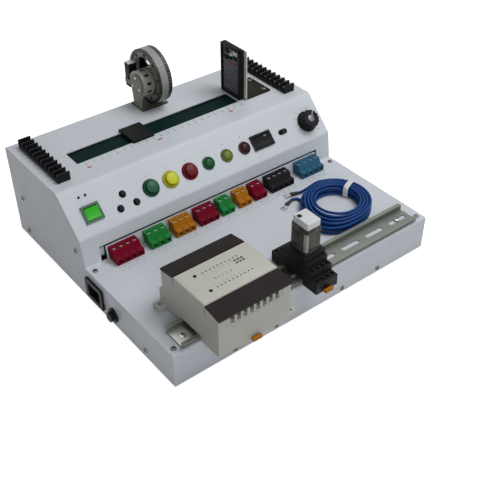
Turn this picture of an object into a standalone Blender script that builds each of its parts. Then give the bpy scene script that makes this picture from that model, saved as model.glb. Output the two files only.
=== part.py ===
"""Bench trainer for programmable controllers: a folded sheet-metal console with a controller and a relay on a rail,
a belt carriage, switches, lamps, terminal blocks and a coil of leads. Metres, +Z up, front towards -Y."""

from math import atan2, cos, hypot, pi, radians, sin

import bmesh
import bpy
from mathutils import Matrix, Vector

MM = 0.001

# Console, outside sizes. Y is counted from the middle of its depth, Z from the table.
BODY_WIDTH = 380 * MM
BODY_DEPTH = 350 * MM
FOOT_HEIGHT = 3 * MM
DECK_Z = 48.7 * MM
TOP_Z = 126.5 * MM
BEND_Y = 48.2 * MM
SLOPE_FOOT_Y = 5.7 * MM
SLOPE_FOOT_Z = 85 * MM
WALL_FOOT_Y = 0.8 * MM
SHEET = 1.5 * MM
GAP = 0.3 * MM
TOP_BEND_RADIUS = 9 * MM
SLOPE_BEND_RADIUS = 6 * MM
SMALL_BEND_RADIUS = 2.5 * MM
BEND_STEPS = 4
OVERRUN = 5 * MM
TRAY_FLANGE = 14 * MM
FOOT_RADIUS = 7 * MM
FOOT_INSET = 24 * MM
VENT_WIDTH = 34 * MM
VENT_HEIGHT = 4 * MM
VENT_PITCH = 9 * MM
VENT_COUNT = 5
VENT_X = -110 * MM
VENT_Z = 50 * MM

# Window in the wall and the deck's upstand behind it.
WINDOW_LEFT = -BODY_WIDTH / 2 + 22 * MM
WINDOW_RIGHT = BODY_WIDTH / 2 - 23 * MM
WINDOW_TOP_Z = 68 * MM
UPSTAND_TOP_Z = 65 * MM
UPSTAND_LEFT = -BODY_WIDTH / 2 + 30 * MM
UPSTAND_RIGHT = BODY_WIDTH / 2 - 26 * MM

# Belt, its slot and the carriage.
SLOT_LEFT = -140 * MM
SLOT_RIGHT = 101 * MM
SLOT_FRONT = 87.2 * MM
SLOT_BACK = 116 * MM
BELT_WIDTH = 26 * MM
BELT_THICKNESS = 1.2 * MM
BELT_DROP = 2.5 * MM
ROLLER_RADIUS = 8 * MM
ROLLER_OVERHANG = 12 * MM
ROLLER_SIDES = 24
AXLE_RADIUS = 1.6 * MM
FRAME_WALL = 1.5 * MM
FRAME_DEPTH = 27 * MM
FRAME_END = 16 * MM
FRAME_LUG = 9 * MM
CARRIAGE_LENGTH = 30 * MM
CARRIAGE_X = -48.6 * MM
CARRIAGE_PLATE = 3.5 * MM
CARRIAGE_OVERLAP = 3.4 * MM
CARRIAGE_KEEL = 1.5 * MM
CARRIAGE_BEVEL = 1 * MM
MOTOR_RADIUS = 12 * MM
MOTOR_LENGTH = 26 * MM
MOTOR_DROP = 4 * MM
MOTOR_NECK_RADIUS = 5 * MM
MOTOR_NECK = 3 * MM

# Slope panel: X and the distance down from the top bend.
BUTTON_FIRST_X = -81 * MM
BUTTON_PITCH = 28.2 * MM
BUTTON_DOWN = 35 * MM
BUTTON_RADIUS = 7.6 * MM
BUTTON_HEIGHT = 7 * MM
BUTTON_CROWN = 1.4 * MM
BEZEL_WALL = 1.6 * MM
BEZEL_RISE = 2.2 * MM
BUTTON_TRAVEL = 3 * MM
LAMP_RADIUS = 6 * MM
LAMP_HEIGHT = 5 * MM
LAMP_CROWN = 2.4 * MM
ROUND_SIDES = 20
SMALL_BUTTON_RADIUS = 3 * MM
SMALL_BUTTON_HEIGHT = 3.6 * MM
SMALL_BUTTON_TRAVEL = 1 * MM
SMALL_BUTTON_PLACES = ((-117.3 * MM, 28.5 * MM), (-127.2 * MM, 43.4 * MM), (-105.3 * MM, 43.4 * MM))
ROCKER_X = -BODY_WIDTH / 2 + 29 * MM
ROCKER_WIDTH = 23 * MM
ROCKER_HEIGHT = 21 * MM
SELECTOR_X = BODY_WIDTH / 2 - 101.5 * MM
SELECTOR_WIDTH = 32 * MM
SELECTOR_HEIGHT = 20 * MM
ROCKER_RIM = 2.2 * MM
ROCKER_RIM_RISE = 2.4 * MM
ROCKER_BODY_DEPTH = 14 * MM
ROCKER_WALL = 1.2 * MM
ROCKER_PIN_RADIUS = 1.5 * MM
ROCKER_TILT = 6
ROCKER_RISE = 3.2 * MM
SLIDER_X = BODY_WIDTH / 2 - 66.5 * MM
SLIDER_WIDTH = 10 * MM
SLIDER_HEIGHT = 5 * MM
SLIDER_LEVER_WIDTH = 3.4 * MM
SLIDER_LEVER_HEIGHT = 2.8 * MM
SLIDER_LEVER_RISE = 2.6 * MM
SLIDER_TRAVEL = 3 * MM
KNOB_X = BODY_WIDTH / 2 - 24.8 * MM
KNOB_RADIUS = 13 * MM
KNOB_HEIGHT = 15 * MM
KNOB_SKIRT = 3 * MM
KNOB_TOP_RADIUS = 10.5 * MM
KNOB_FLUTES = 12
KNOB_FLUTE_RADIUS = 1.6 * MM
KNOB_POINTER_WIDTH = 1.4 * MM
KNOB_POINTER_DEPTH = 0.8 * MM
KNOB_SHAFT_RADIUS = 3 * MM
KNOB_BORE_DEPTH = 8 * MM
BOARD_DEPTH = 18 * MM
BOARD_THICKNESS = 1.6 * MM
BOARD_TOP_DOWN = 18 * MM
BOARD_BOTTOM_DOWN = 52 * MM
BOARD_LEFT = -BODY_WIDTH / 2 + 50 * MM
BOARD_RIGHT = BODY_WIDTH / 2 - 8 * MM

# Terminal blocks along the window: first pole's edge and the number of poles.
POLE_PITCH = 9.2 * MM
TERMINALS = (
    ("red_terminal_block_left", -158.2 * MM, 4, "red"),
    ("green_terminal_block_left", -110.5 * MM, 3, "green"),
    ("orange_terminal_block_left", -74.3 * MM, 3, "orange"),
    ("red_terminal_block_middle", -39.1 * MM, 3, "red"),
    ("green_terminal_block_right", -5.6 * MM, 2, "green"),
    ("orange_terminal_block_right", 21.3 * MM, 2, "orange"),
    ("red_terminal_block_right", 46 * MM, 2, "red"),
    ("black_terminal_block", 73.2 * MM, 4, "black"),
    ("blue_terminal_block", 125 * MM, 4, "teal"),
)
TERMINAL_REACH = 19.6 * MM
TERMINAL_LIP = 7 * MM
TERMINAL_LIP_HEIGHT = 8.5 * MM
TERMINAL_HEIGHT = 15 * MM
TERMINAL_RAKE = 3 * MM
TERMINAL_TONGUE = 9 * MM
TERMINAL_TONGUE_Z = 3 * MM
TERMINAL_TONGUE_INSET = 0.8 * MM
TERMINAL_SCREW_RADIUS = 2.6 * MM
TERMINAL_SCREW_DEPTH = 2.5 * MM
TERMINAL_WIRE_WIDTH = 5.2 * MM
TERMINAL_WIRE_HEIGHT = 4.4 * MM
TERMINAL_WIRE_DEPTH = 4 * MM
TERMINAL_WIRE_Z = 2 * MM
TERMINAL_BOARD_HEIGHT = 20 * MM

# Barrier strips on the top, running front to back.
STRIP_LEFT_X = -BODY_WIDTH / 2 + 20.3 * MM
STRIP_RIGHT_X = BODY_WIDTH / 2 - 20.5 * MM
STRIP_FRONT = 64 * MM
STRIP_POLES = 10
STRIP_PITCH = 9.6 * MM
STRIP_WIDTH = 16 * MM
STRIP_HEIGHT = 11.5 * MM
STRIP_BASE = 4.5 * MM
STRIP_RIB = 1.5 * MM
STRIP_SCREW_RADIUS = 3 * MM
STRIP_SCREW_HEIGHT = 2.4 * MM
STRIP_SCREW_OFFSET = 3.6 * MM
SCREW_SIDES = 8

# Rail, controller and relay on the deck.
RAIL_Y = -157.6 * MM
RAIL_LENGTH = 352 * MM
RAIL_WIDTH = 35 * MM
RAIL_WEB = 27 * MM
RAIL_HEIGHT = 7.5 * MM
RAIL_SHEET = 1 * MM
RAIL_SLOT_LENGTH = 28 * MM
RAIL_SLOT_WIDTH = 6.3 * MM
RAIL_SLOT_PITCH = 39.6 * MM
RAIL_SLOT_COUNT = 8
RAIL_SLOT_LAST_X = 164 * MM

CONTROLLER_X = -107.5 * MM
CONTROLLER_WIDTH = 94.5 * MM
CONTROLLER_Y = -156.5 * MM
CONTROLLER_TOP_Z = 106 * MM
CONTROLLER_HALF = 50 * MM
CONTROLLER_PLATEAU_HALF = 28 * MM
CONTROLLER_EDGE_DROP = 3.7 * MM
CONTROLLER_LEDGE = 6 * MM
CONTROLLER_LEDGE_TOP = 22 * MM
CONTROLLER_LIFT = 1.4 * MM
CONTROLLER_CORNER = 1.2 * MM
COVER_THICKNESS = 2.4 * MM
COVER_LAP = 1.6 * MM
TERMINAL_WELL = 9 * MM
WELL_WALL = 2 * MM
WELL_POLES = 8
WELL_SCREW_RADIUS = 3 * MM
WELL_SCREW_HEIGHT = 2 * MM
COMB_HEIGHT = 9 * MM
COMB_DEPTH = 3 * MM
COMB_SHARE = 0.62
COMB_LEFT_SHARE = 0.16
COMB_RIGHT_SHARE = 0.86
EAR_WIDTH = 10 * MM
EAR_LENGTH = 11 * MM
EAR_THICKNESS = 5 * MM
EAR_HOLE_RADIUS = 2.2 * MM
LATCH_WIDTH = 11 * MM
LATCH_THICKNESS = 2.2 * MM
LATCH_REACH = 5 * MM
LATCH_BITE = 3.4 * MM
LATCH_LIP = 3 * MM

SOCKET_X = 1.4 * MM
SOCKET_WIDTH = 31 * MM
SOCKET_FRONT = -198 * MM
SOCKET_BACK = -121 * MM
SOCKET_STEPS = ((0, 16 * MM), (10 * MM, 25 * MM), (18 * MM, 33 * MM), (22 * MM, 39 * MM))
SOCKET_SCREWS = 4
SOCKET_SCREW_RADIUS = 2.7 * MM
SOCKET_SCREW_DEPTH = 2 * MM
RELAY_WIDTH = 21 * MM
RELAY_DEPTH = 27 * MM
RELAY_Y = -159.5 * MM
RELAY_HEIGHT = 40 * MM
RELAY_CAP = 6 * MM
RELAY_CAP_INSET = 1 * MM
RELAY_SEAT = 5 * MM
RELAY_BEVEL = 1.2 * MM

# Wheel unit on the top, its axis along X.
WHEEL_Y = 154.6 * MM
WHEEL_Z = 166.7 * MM
WHEEL_RADIUS = 36 * MM
WHEEL_LEFT = 2 * MM
WHEEL_WIDTH = 18 * MM
WHEEL_RIM = 4 * MM
WHEEL_WEB = 2 * MM
WHEEL_WINDOWS = 6
WHEEL_WINDOW_RADIUS = 7 * MM
WHEEL_WINDOW_RING = 21 * MM
WHEEL_SIDES = 36
WHEEL_WINDOW_TURN = 4
WHEEL_MOTOR_RADIUS = 17.5 * MM
WHEEL_MOTOR_LENGTH = 24 * MM
WHEEL_MOTOR_DROP = 7 * MM
WHEEL_SHAFT_RADIUS = 2.5 * MM
BRACKET_LEFT = -12.5 * MM
BRACKET_RIGHT = 25.8 * MM
BRACKET_FRONT = 141 * MM
BRACKET_BACK = 169.5 * MM
BRACKET_THICKNESS = 2 * MM
BRACKET_POST = 15 * MM
BRACKET_HEAD_RADIUS = 13 * MM
SENSOR_X = -5 * MM
SENSOR_Y = 177.6 * MM
SENSOR_Z = 148 * MM
SENSOR_WIDTH = 13 * MM
SENSOR_DEPTH = 10 * MM
SENSOR_HEIGHT = 32 * MM
SENSOR_ARM = 5 * MM

# Upright board beside the belt's right end.
UPRIGHT_X = 110.5 * MM
UPRIGHT_FRONT = 83 * MM
UPRIGHT_DEPTH = 45 * MM
UPRIGHT_HEIGHT = 76 * MM
UPRIGHT_THICKNESS = 2 * MM
UPRIGHT_FOOT = 42 * MM
PANEL_FRONT = 87 * MM
PANEL_DEPTH = 40 * MM
PANEL_THICKNESS = 8 * MM
PANEL_BASE = 1 * MM
PANEL_HEIGHT = 77 * MM
PANEL_FRAME = 3 * MM
PANEL_RECESS = 2 * MM
PANEL_ROWS = 9
PANEL_COLUMNS = 5
PANEL_STUD = 2.2 * MM
PANEL_STUD_RISE = 0.9 * MM
PANEL_CHIP_SHARE = 0.72

# Left side: mains inlet and fuse holder.
INLET_Y = -17 * MM
INLET_Z = 24 * MM
INLET_WIDTH = 31 * MM
INLET_HEIGHT = 24 * MM
INLET_FLANGE = 2.5 * MM
INLET_RIM = 3 * MM
INLET_DEPTH = 22 * MM
INLET_WELL = 16 * MM
INLET_PIN_LENGTH = 12 * MM
INLET_PIN_WIDTH = 4 * MM
INLET_PIN_THICKNESS = 2 * MM
INLET_PIN_PITCH = 7 * MM
FUSE_Y = -56.5 * MM
FUSE_Z = 19 * MM
FUSE_RADIUS = 9 * MM
FUSE_NECK = 6.5 * MM
FUSE_DEPTH = 34 * MM
FUSE_FLANGE = 2.4 * MM
FUSE_CAP_RADIUS = 6 * MM
FUSE_CAP_RISE = 7 * MM
FUSE_CAP_DEPTH = 8 * MM
FUSE_SLOT = 1.2 * MM

# Supply unit on the tray.
SUPPLY_X = -BODY_WIDTH / 2 + 95 * MM
SUPPLY_Y = 95 * MM
SUPPLY_WIDTH = 110 * MM
SUPPLY_DEPTH = 78 * MM
SUPPLY_HEIGHT = 38 * MM
SUPPLY_SHELF = 16 * MM
SUPPLY_SHELF_HEIGHT = 14 * MM
SUPPLY_HOLES = 6
SUPPLY_HOLE_RADIUS = 3.2 * MM
SUPPLY_HOLE_PITCH = 13 * MM

# Leads: one coil of wire and its two lugs, lying on the deck.
COIL_X = 116 * MM
COIL_Y = -92 * MM
COIL_INNER = 28 * MM
COIL_WIRE = 3.5 * MM
COIL_PITCH = 3.9 * MM
COIL_TURNS_PER_LAYER = 4
COIL_LAYERS = 4
COIL_POINTS = 20
COIL_CLIMB = 0.25
COIL_START_ANGLE = 130
COIL_END_TURNS = 15.85
COIL_FAN = 0.9
COIL_FAN_ANGLE = 210
START_TAIL_SWEEP = 150
START_TAIL_RADIUS = 7 * MM
END_TAIL_SWEEP = 8
END_TAIL_RADIUS = 200 * MM
TAIL_POINTS = 8
LUG_LENGTH = 17 * MM
LUG_SLEEVE = 10 * MM
LUG_SLEEVE_RADIUS = 2.6 * MM
LUG_WIDTH = 6.4 * MM
LUG_THICKNESS = 1.4 * MM
LUG_HOLE_RADIUS = 1.8 * MM
LUG_MOUTH = 3 * MM

COLOURS = {
    "console": ((0.62, 0.65, 0.69), 0.45, 0.0),
    "black": ((0.02, 0.02, 0.022), 0.4, 0.0),
    "rubber": ((0.03, 0.03, 0.03), 0.8, 0.0),
    "belt": ((0.01, 0.045, 0.035), 0.7, 0.0),
    "steel": ((0.45, 0.46, 0.46), 0.35, 1.0),
    "red": ((0.35, 0.01, 0.03), 0.35, 0.0),
    "green": ((0.02, 0.3, 0.08), 0.35, 0.0),
    "lit_green": ((0.15, 0.75, 0.12), 0.3, 0.0),
    "yellow": ((0.7, 0.65, 0.05), 0.35, 0.0),
    "orange": ((0.55, 0.22, 0.02), 0.4, 0.0),
    "teal": ((0.03, 0.16, 0.25), 0.4, 0.0),
    "beige": ((0.52, 0.52, 0.45), 0.5, 0.0),
    "cream": ((0.62, 0.6, 0.5), 0.5, 0.0),
    "board": ((0.02, 0.16, 0.08), 0.5, 0.0),
    "clear": ((0.5, 0.52, 0.46), 0.15, 0.0),
    "blue": ((0.01, 0.05, 0.3), 0.4, 0.0),
    "white": ((0.8, 0.8, 0.8), 0.5, 0.0),
}


def material(name):
    found = bpy.data.materials.get(name)
    if found:
        return found
    made = bpy.data.materials.new(name)
    made.use_nodes = True
    shader = made.node_tree.nodes["Principled BSDF"]
    colour, roughness, metallic = COLOURS[name]
    shader.inputs["Base Color"].default_value = (*colour, 1.0)
    shader.inputs["Roughness"].default_value = roughness
    shader.inputs["Metallic"].default_value = metallic
    return made


def finish(name, mesh, colour, sharp=35):
    """Makes one named object of a closed bmesh, its faces turned outwards and its round sides shaded smooth."""
    bmesh.ops.recalc_face_normals(mesh, faces=mesh.faces)
    data = bpy.data.meshes.new(name)
    mesh.to_mesh(data)
    mesh.free()
    data.shade_smooth()
    data.set_sharp_from_angle(angle=radians(sharp))
    data.materials.append(material(colour))
    made = bpy.data.objects.new(name, data)
    bpy.context.scene.collection.objects.link(made)
    return made


def along(axis, u, v, w):
    """A point from its place (u, v) in a profile and its distance w along the axis that the profile is carried on."""
    return {"X": (w, u, v), "Y": (u, w, v), "Z": (u, v, w)}[axis]


def prism(name, outline, axis, low, high, colour="steel"):
    """A solid with a closed outline, carried along an axis from low to high."""
    mesh = bmesh.new()
    rings = [[mesh.verts.new(along(axis, u, v, w)) for u, v in outline] for w in (low, high)]
    mesh.faces.new(rings[0])
    mesh.faces.new(rings[1])
    for i in range(len(outline)):
        j = (i + 1) % len(outline)
        mesh.faces.new((rings[0][i], rings[0][j], rings[1][j], rings[1][i]))
    return finish(name, mesh, colour)


def block(name, low, high, colour="steel"):
    """A box between two corners."""
    outline = ((low[0], low[1]), (high[0], low[1]), (high[0], high[1]), (low[0], high[1]))
    return prism(name, outline, "Z", low[2], high[2], colour)


def turned(name, profile, sides=ROUND_SIDES, colour="steel"):
    """A profile of (radius, height) from bottom to top, closed on the axis or into a ring, turned about Z."""
    mesh = bmesh.new()
    rings = []
    for radius, height in profile:
        if radius == 0:
            rings.append([mesh.verts.new((0, 0, height))] * sides)
            continue
        turn = [2 * pi * i / sides for i in range(sides)]
        rings.append([mesh.verts.new((radius * cos(a), radius * sin(a), height)) for a in turn])
    pairs = list(zip(rings, rings[1:]))
    if profile[0][0] and profile[-1][0]:
        pairs.append((rings[-1], rings[0]))
    for lower, upper in pairs:
        for i in range(sides):
            j = (i + 1) % sides
            corners = dict.fromkeys((lower[i], lower[j], upper[j], upper[i]))
            if len(corners) > 2:
                mesh.faces.new(corners)
    return finish(name, mesh, colour)


def cylinder(name, radius, low, high, sides=ROUND_SIDES, colour="steel"):
    return turned(name, ((0, low), (radius, low), (radius, high), (0, high)), sides, colour)


def arc(centre, radius, start, end, steps):
    """Points on an arc about (u, v), angles in degrees."""
    turn = [radians(start + (end - start) * i / steps) for i in range(steps + 1)]
    return [(centre[0] + radius * cos(a), centre[1] + radius * sin(a)) for a in turn]


def rounded_box(width, height, radius, steps=3):
    """The outline of a rectangle with round corners about its middle."""
    x, y = width / 2 - radius, height / 2 - radius
    corners = ((x, y, 0), (-x, y, 90), (-x, -y, 180), (x, -y, 270))
    return [p for cx, cy, a in corners for p in arc((cx, cy), radius, a, a + 90, steps)]


def filleted(points, radii, steps=BEND_STEPS):
    """An open path whose inner corners are rounded, each with its own radius."""
    path = [points[0]]
    for before, here, after, radius in zip(points, points[1:], points[2:], radii):
        if radius <= 0:
            path.append(here)
            continue
        corner = Vector(here)
        into = (Vector(before) - corner).normalized()
        out = (Vector(after) - corner).normalized()
        half = into.angle(out) / 2
        reach = radius / sin(half)
        centre = corner + (into + out).normalized() * reach
        first = corner + into * (reach * cos(half)) - centre
        last = corner + out * (reach * cos(half)) - centre
        start = atan2(first.y, first.x)
        sweep = (atan2(last.y, last.x) - start + pi) % (2 * pi) - pi
        for i in range(steps + 1):
            angle = start + sweep * i / steps
            path.append((centre.x + radius * cos(angle), centre.y + radius * sin(angle)))
    path.append(points[-1])
    return path


def offset(points, distances, closed=False):
    """The path moved to its left by a distance for each edge, its corners met again."""
    count = len(points)
    edges = count if closed else count - 1
    lines = []
    for i in range(edges):
        a, b = Vector(points[i]), Vector(points[(i + 1) % count])
        run = (b - a).normalized()
        side = Vector((-run.y, run.x)) * distances[i]
        lines.append((a + side, b + side, run))
    moved = []
    for i in range(count):
        if not closed and i in (0, count - 1):
            moved.append(tuple(lines[0][0] if i == 0 else lines[-1][1]))
            continue
        a, _, u = lines[i - 1]
        b, _, v = lines[i % edges]
        cross = u.x * v.y - u.y * v.x
        t = ((b - a).x * v.y - (b - a).y * v.x) / cross
        moved.append(tuple(a + u * t))
    return moved


def placed(made, matrix):
    """Turns a piece's mesh by a matrix, and leaves its object where it is."""
    made.data.transform(matrix)
    return made


def at(made, *place):
    return placed(made, Matrix.Translation(place))


def combine(base, operation, *tools):
    """Joins tools to a piece or cuts them from it, one after another, and keeps the result as its mesh."""
    for tool in tools:
        change = base.modifiers.new("change", "BOOLEAN")
        change.operation = operation
        change.solver = "EXACT"
        change.object = tool
        graph = bpy.context.evaluated_depsgraph_get()
        result = bpy.data.meshes.new_from_object(base.evaluated_get(graph))
        base.modifiers.clear()
        old = base.data
        base.data = result
        bpy.data.meshes.remove(old)
        spent = tool.data
        bpy.data.objects.remove(tool)
        bpy.data.meshes.remove(spent)
    return base


def cut(base, *tools):
    return combine(base, "DIFFERENCE", *tools)


def join(base, *tools):
    return combine(base, "UNION", *tools)


def hinged(made, pivot):
    """Puts a moving piece's origin on its joint's axis, with its shape left where it is."""
    made.data.transform(Matrix.Translation(-Vector(pivot)))
    made.matrix_world = Matrix.Translation(pivot)
    return made


AXIS_X = Matrix.Rotation(pi / 2, 4, "Y")
AXIS_Y = Matrix.Rotation(-pi / 2, 4, "X")
CONSOLE = (
    (-BODY_DEPTH / 2, FOOT_HEIGHT),
    (BODY_DEPTH / 2, FOOT_HEIGHT),
    (BODY_DEPTH / 2, TOP_Z),
    (BEND_Y, TOP_Z),
    (SLOPE_FOOT_Y, SLOPE_FOOT_Z),
    (WALL_FOOT_Y, DECK_Z),
    (-BODY_DEPTH / 2, DECK_Z),
)
SLOPE_ANGLE = atan2(TOP_Z - SLOPE_FOOT_Z, BEND_Y - SLOPE_FOOT_Y)
WALL_LEAN = (SLOPE_FOOT_Y - WALL_FOOT_Y) / (SLOPE_FOOT_Z - DECK_Z)


def slope_matrix(x, down):
    """The frame of a place on the slope: X along the console, Y up the slope, Z out of the panel."""
    place = Vector((x, BEND_Y - down * cos(SLOPE_ANGLE), TOP_Z - down * sin(SLOPE_ANGLE)))
    return Matrix.Translation(place) @ Matrix.Rotation(SLOPE_ANGLE, 4, "X")


def wall_y(z):
    """Where the outer face of the lower wall stands at a height."""
    return WALL_FOOT_Y + (z - DECK_Z) * WALL_LEAN


def on_slope(made, x, down):
    return placed(made, slope_matrix(x, down))


def sheet_outline(path, radii):
    """The closed outline of a folded sheet whose outer side follows a path, with the metal on the path's left."""
    inner = offset(path, [SHEET] * (len(path) - 1))
    turns = []
    for before, here, after in zip(path, path[1:], path[2:]):
        ux, uy = here[0] - before[0], here[1] - before[1]
        vx, vy = after[0] - here[0], after[1] - here[1]
        turns.append(1 if ux * vy - uy * vx > 0 else -1)
    inner_radii = [r - SHEET * t for r, t in zip(radii, turns)]
    return filleted(path, radii) + filleted(inner, inner_radii)[::-1]


def base_tray():
    """The bottom: a folded tray between the side panels, standing on four rubber feet."""
    half = BODY_DEPTH / 2 - 2 * SHEET - 2 * GAP
    bottom = FOOT_HEIGHT + SHEET + GAP
    path = ((half, bottom + TRAY_FLANGE), (half, bottom), (-half, bottom), (-half, bottom + TRAY_FLANGE))
    outline = sheet_outline(path[::-1], (SMALL_BEND_RADIUS, SMALL_BEND_RADIUS))
    reach = BODY_WIDTH / 2 - SHEET - GAP
    tray = prism("base_tray", outline, "X", -reach, reach, "console")
    for x in (-1, 1):
        for y in (-1, 1):
            foot = cylinder("foot", FOOT_RADIUS, 0, bottom + SHEET / 2, ROUND_SIDES)
            join(tray, at(foot, x * (BODY_WIDTH / 2 - FOOT_INSET), y * (BODY_DEPTH / 2 - FOOT_INSET), 0))
    return tray


def panel_outline(inset, rise):
    """The console's side outline, inset under the folded sheets and rounded as their bends are."""
    corners = offset(CONSOLE, [rise] + [inset] * (len(CONSOLE) - 1), closed=True)
    middle = (0, FOOT_HEIGHT + rise)
    bends = (0, 0, SMALL_BEND_RADIUS, TOP_BEND_RADIUS, SLOPE_BEND_RADIUS, 0, SMALL_BEND_RADIUS)
    path = filleted([middle, *corners[1:], corners[0], middle], [b - inset for b in bends[1:] + bends[:1]])
    return path[:-1]


def side_panel(name, side):
    """An L-shaped end plate, set in between the folded sheets."""
    return prism(name, panel_outline(SHEET + GAP, 0), "X", side * (BODY_WIDTH / 2 - SHEET), side * BODY_WIDTH / 2, "console")


def slope_hole(width, height, x, down):
    tool = block("hole", (-width / 2, -height / 2, -OVERRUN), (width / 2, height / 2, OVERRUN))
    return on_slope(tool, x, down)


def slope_bore(radius, x, down, sides=ROUND_SIDES):
    return on_slope(cylinder("bore", radius, -OVERRUN, OVERRUN, sides), x, down)


def hood():
    """Rear, top, slope and wall in one folded sheet, with the belt's slot, the controls' holes and the window."""
    path = (
        (BODY_DEPTH / 2, FOOT_HEIGHT),
        (BODY_DEPTH / 2, TOP_Z),
        (BEND_Y, TOP_Z),
        (SLOPE_FOOT_Y, SLOPE_FOOT_Z),
        (wall_y(DECK_Z + GAP), DECK_Z + GAP),
    )
    outline = sheet_outline(path, (SMALL_BEND_RADIUS, TOP_BEND_RADIUS, SLOPE_BEND_RADIUS))
    sheet = prism("hood", outline, "X", -BODY_WIDTH / 2, BODY_WIDTH / 2, "console")
    slot = (SLOT_LEFT, SLOT_FRONT, TOP_Z - OVERRUN), (SLOT_RIGHT, SLOT_BACK, TOP_Z + OVERRUN)
    window = (
        (WINDOW_LEFT, WALL_FOOT_Y - OVERRUN, DECK_Z - OVERRUN),
        (WINDOW_RIGHT, SLOPE_FOOT_Y + OVERRUN, WINDOW_TOP_Z),
    )
    cut(sheet, block("slot", *slot), block("window", *window))
    for i in range(6):
        radius = (BUTTON_RADIUS if i < 3 else LAMP_RADIUS) + BEZEL_WALL / 2 + 2 * GAP
        cut(sheet, slope_bore(radius, BUTTON_FIRST_X + i * BUTTON_PITCH, BUTTON_DOWN))
    for x, down in SMALL_BUTTON_PLACES:
        cut(sheet, slope_bore(SMALL_BUTTON_RADIUS + GAP, x, down, SCREW_SIDES * 2))
    cut(sheet, slope_hole(ROCKER_WIDTH - ROCKER_RIM, ROCKER_HEIGHT - ROCKER_RIM, ROCKER_X, BUTTON_DOWN))
    cut(sheet, slope_hole(SELECTOR_WIDTH - ROCKER_RIM, SELECTOR_HEIGHT - ROCKER_RIM, SELECTOR_X, BUTTON_DOWN))
    slider = prism("slider", rounded_box(SLIDER_WIDTH, SLIDER_HEIGHT, SLIDER_HEIGHT / 2 - GAP), "Z", -OVERRUN, OVERRUN)
    cut(sheet, on_slope(slider, SLIDER_X, BUTTON_DOWN))
    cut(sheet, slope_bore(KNOB_SHAFT_RADIUS + GAP, KNOB_X, BUTTON_DOWN))
    for i in range(VENT_COUNT):
        for x in (VENT_X, -VENT_X):
            z = VENT_Z + i * VENT_PITCH
            low = (x - VENT_WIDTH / 2, BODY_DEPTH / 2 - OVERRUN, z)
            cut(sheet, block("vent", low, (x + VENT_WIDTH / 2, BODY_DEPTH / 2 + OVERRUN, z + VENT_HEIGHT)))
    return sheet


def deck_plate():
    """Front skirt, deck and the upstand that closes the window from below, folded from one sheet."""
    path = (
        (wall_y(UPSTAND_TOP_Z), UPSTAND_TOP_Z),
        (WALL_FOOT_Y, DECK_Z),
        (-BODY_DEPTH / 2, DECK_Z),
        (-BODY_DEPTH / 2, FOOT_HEIGHT),
    )
    outline = sheet_outline(path, (SHEET / 2, SMALL_BEND_RADIUS))
    plate = prism("deck_plate", outline, "X", -BODY_WIDTH / 2, BODY_WIDTH / 2, "console")
    low_y, high_y = WALL_FOOT_Y - OVERRUN, SLOPE_FOOT_Y + OVERRUN
    left = block("end", (-BODY_WIDTH, WALL_FOOT_Y, DECK_Z - OVERRUN), (UPSTAND_LEFT, high_y, TOP_Z))
    right = block("end", (UPSTAND_RIGHT, WALL_FOOT_Y, DECK_Z - OVERRUN), (BODY_WIDTH, high_y, TOP_Z))
    cut(plate, left, right)
    for _, x, poles, _ in TERMINALS:
        inset = TERMINAL_TONGUE_INSET - GAP
        z = DECK_Z + TERMINAL_TONGUE_Z
        low = (x + inset, low_y, z - GAP)
        high = (x + poles * POLE_PITCH - inset - GAP, high_y, z + TERMINAL_TONGUE + GAP)
        cut(plate, block("cutout", low, high))
    return plate


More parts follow.
